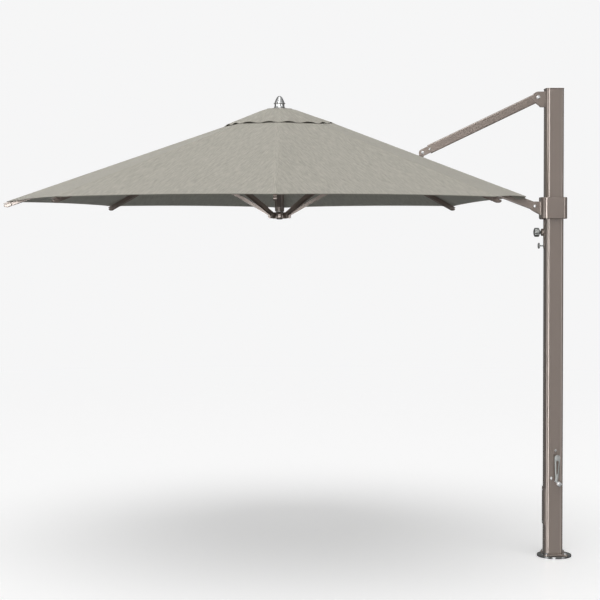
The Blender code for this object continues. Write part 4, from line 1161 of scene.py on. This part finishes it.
def build_light():
    """A studio: one broad soft lamp above, an even sky, and tall strips that only show as reflections."""
    world = bpy.data.worlds.new("studio")
    bpy.context.scene.world = world
    nodes = Nodes(world)
    x, y, z = nodes.add("SeparateXYZ", {0: nodes.add("TexCoord").outputs["Generated"]}).outputs
    azimuth = nodes.math("ARCTAN2", nodes.times(x, -1.0), nodes.times(y, -1.0))

    def strip(start, end, level):
        """Light between two azimuths in degrees, counted from the camera's side towards -X."""
        soft = 2.0
        rise = nodes.ramp(azimuth, radians(start - soft), radians(start + soft))
        fall = nodes.ramp(azimuth, radians(end - soft), radians(end + soft), 1.0, 0.0)
        return nodes.times(nodes.times(rise, fall), level)

    reflected = nodes.math("MAXIMUM", nodes.times(z, 0.25, REFLECTED_LEVEL), 0.12)
    upright = nodes.ramp(nodes.math("ABSOLUTE", z), 0.40, 0.75, 1.0, 0.0)
    for start, end, level in REFLECTIONS:
        reflected = nodes.times(strip(start, end, level), upright, reflected)
    reflected = nodes.times(reflected, nodes.ramp(y, 0.3, 0.9, 1.0, 0.5))
    sky = nodes.times(x, -0.22, SKY_LEVEL)
    diffuse = nodes.add("Background", {"Color": (1.0, 0.995, 0.985, 1.0), "Strength": sky})
    mirrored = nodes.add("Background", {"Color": (0.985, 0.995, 1.0, 1.0), "Strength": reflected})
    backdrop = nodes.add("Background", {"Color": (*BACKGROUND, 1.0), "Strength": 1.0})
    ray = nodes.add("LightPath")
    unseen = nodes.blend(ray.outputs["Is Glossy Ray"], diffuse, mirrored)
    mixed = nodes.blend(ray.outputs["Is Camera Ray"], unseen, backdrop)
    nodes.add("OutputWorld", {0: mixed.outputs[0]})

    data = bpy.data.lights.new("key", "SUN")
    data.energy = KEY_LEVEL
    data.angle = radians(48.0)
    data.specular_factor = 0.5
    key = holder(data, "key")
    key.rotation_euler = (-Vector((-0.05, -0.42, 1.0))).to_track_quat("-Z", "Y").to_euler()


def build_camera():
    data = bpy.data.cameras.new("camera")
    data.sensor_width = 36.0
    data.lens = 89.4
    data.shift_x = 0.0008
    data.shift_y = -0.0573
    data.clip_end = 200.0
    camera = holder(data, "camera")
    camera.location = (-1.627, -9.55, 2.05)
    camera.rotation_euler = (radians(90.0 - 1.1), 0.0, 0.0)
    bpy.context.scene.camera = camera


# ---- assembly
def finish_frame_nodes():
    """The frame nodes that stay in view get the procedural materials of their slots."""
    for node, item in frame["nodes"].items():
        item.data.materials.clear()
        item.data.materials.append(MATERIALS[SLOT[node]])


for build in (build_camera, finish_frame_nodes, build_base, build_mast, build_linkage, build_collar,
        build_lock, build_crank, build_hubs, build_ribs, build_stays, build_fabric, build_floor, build_light):
    build()
bpy.context.scene.view_settings.view_transform = "Standard"
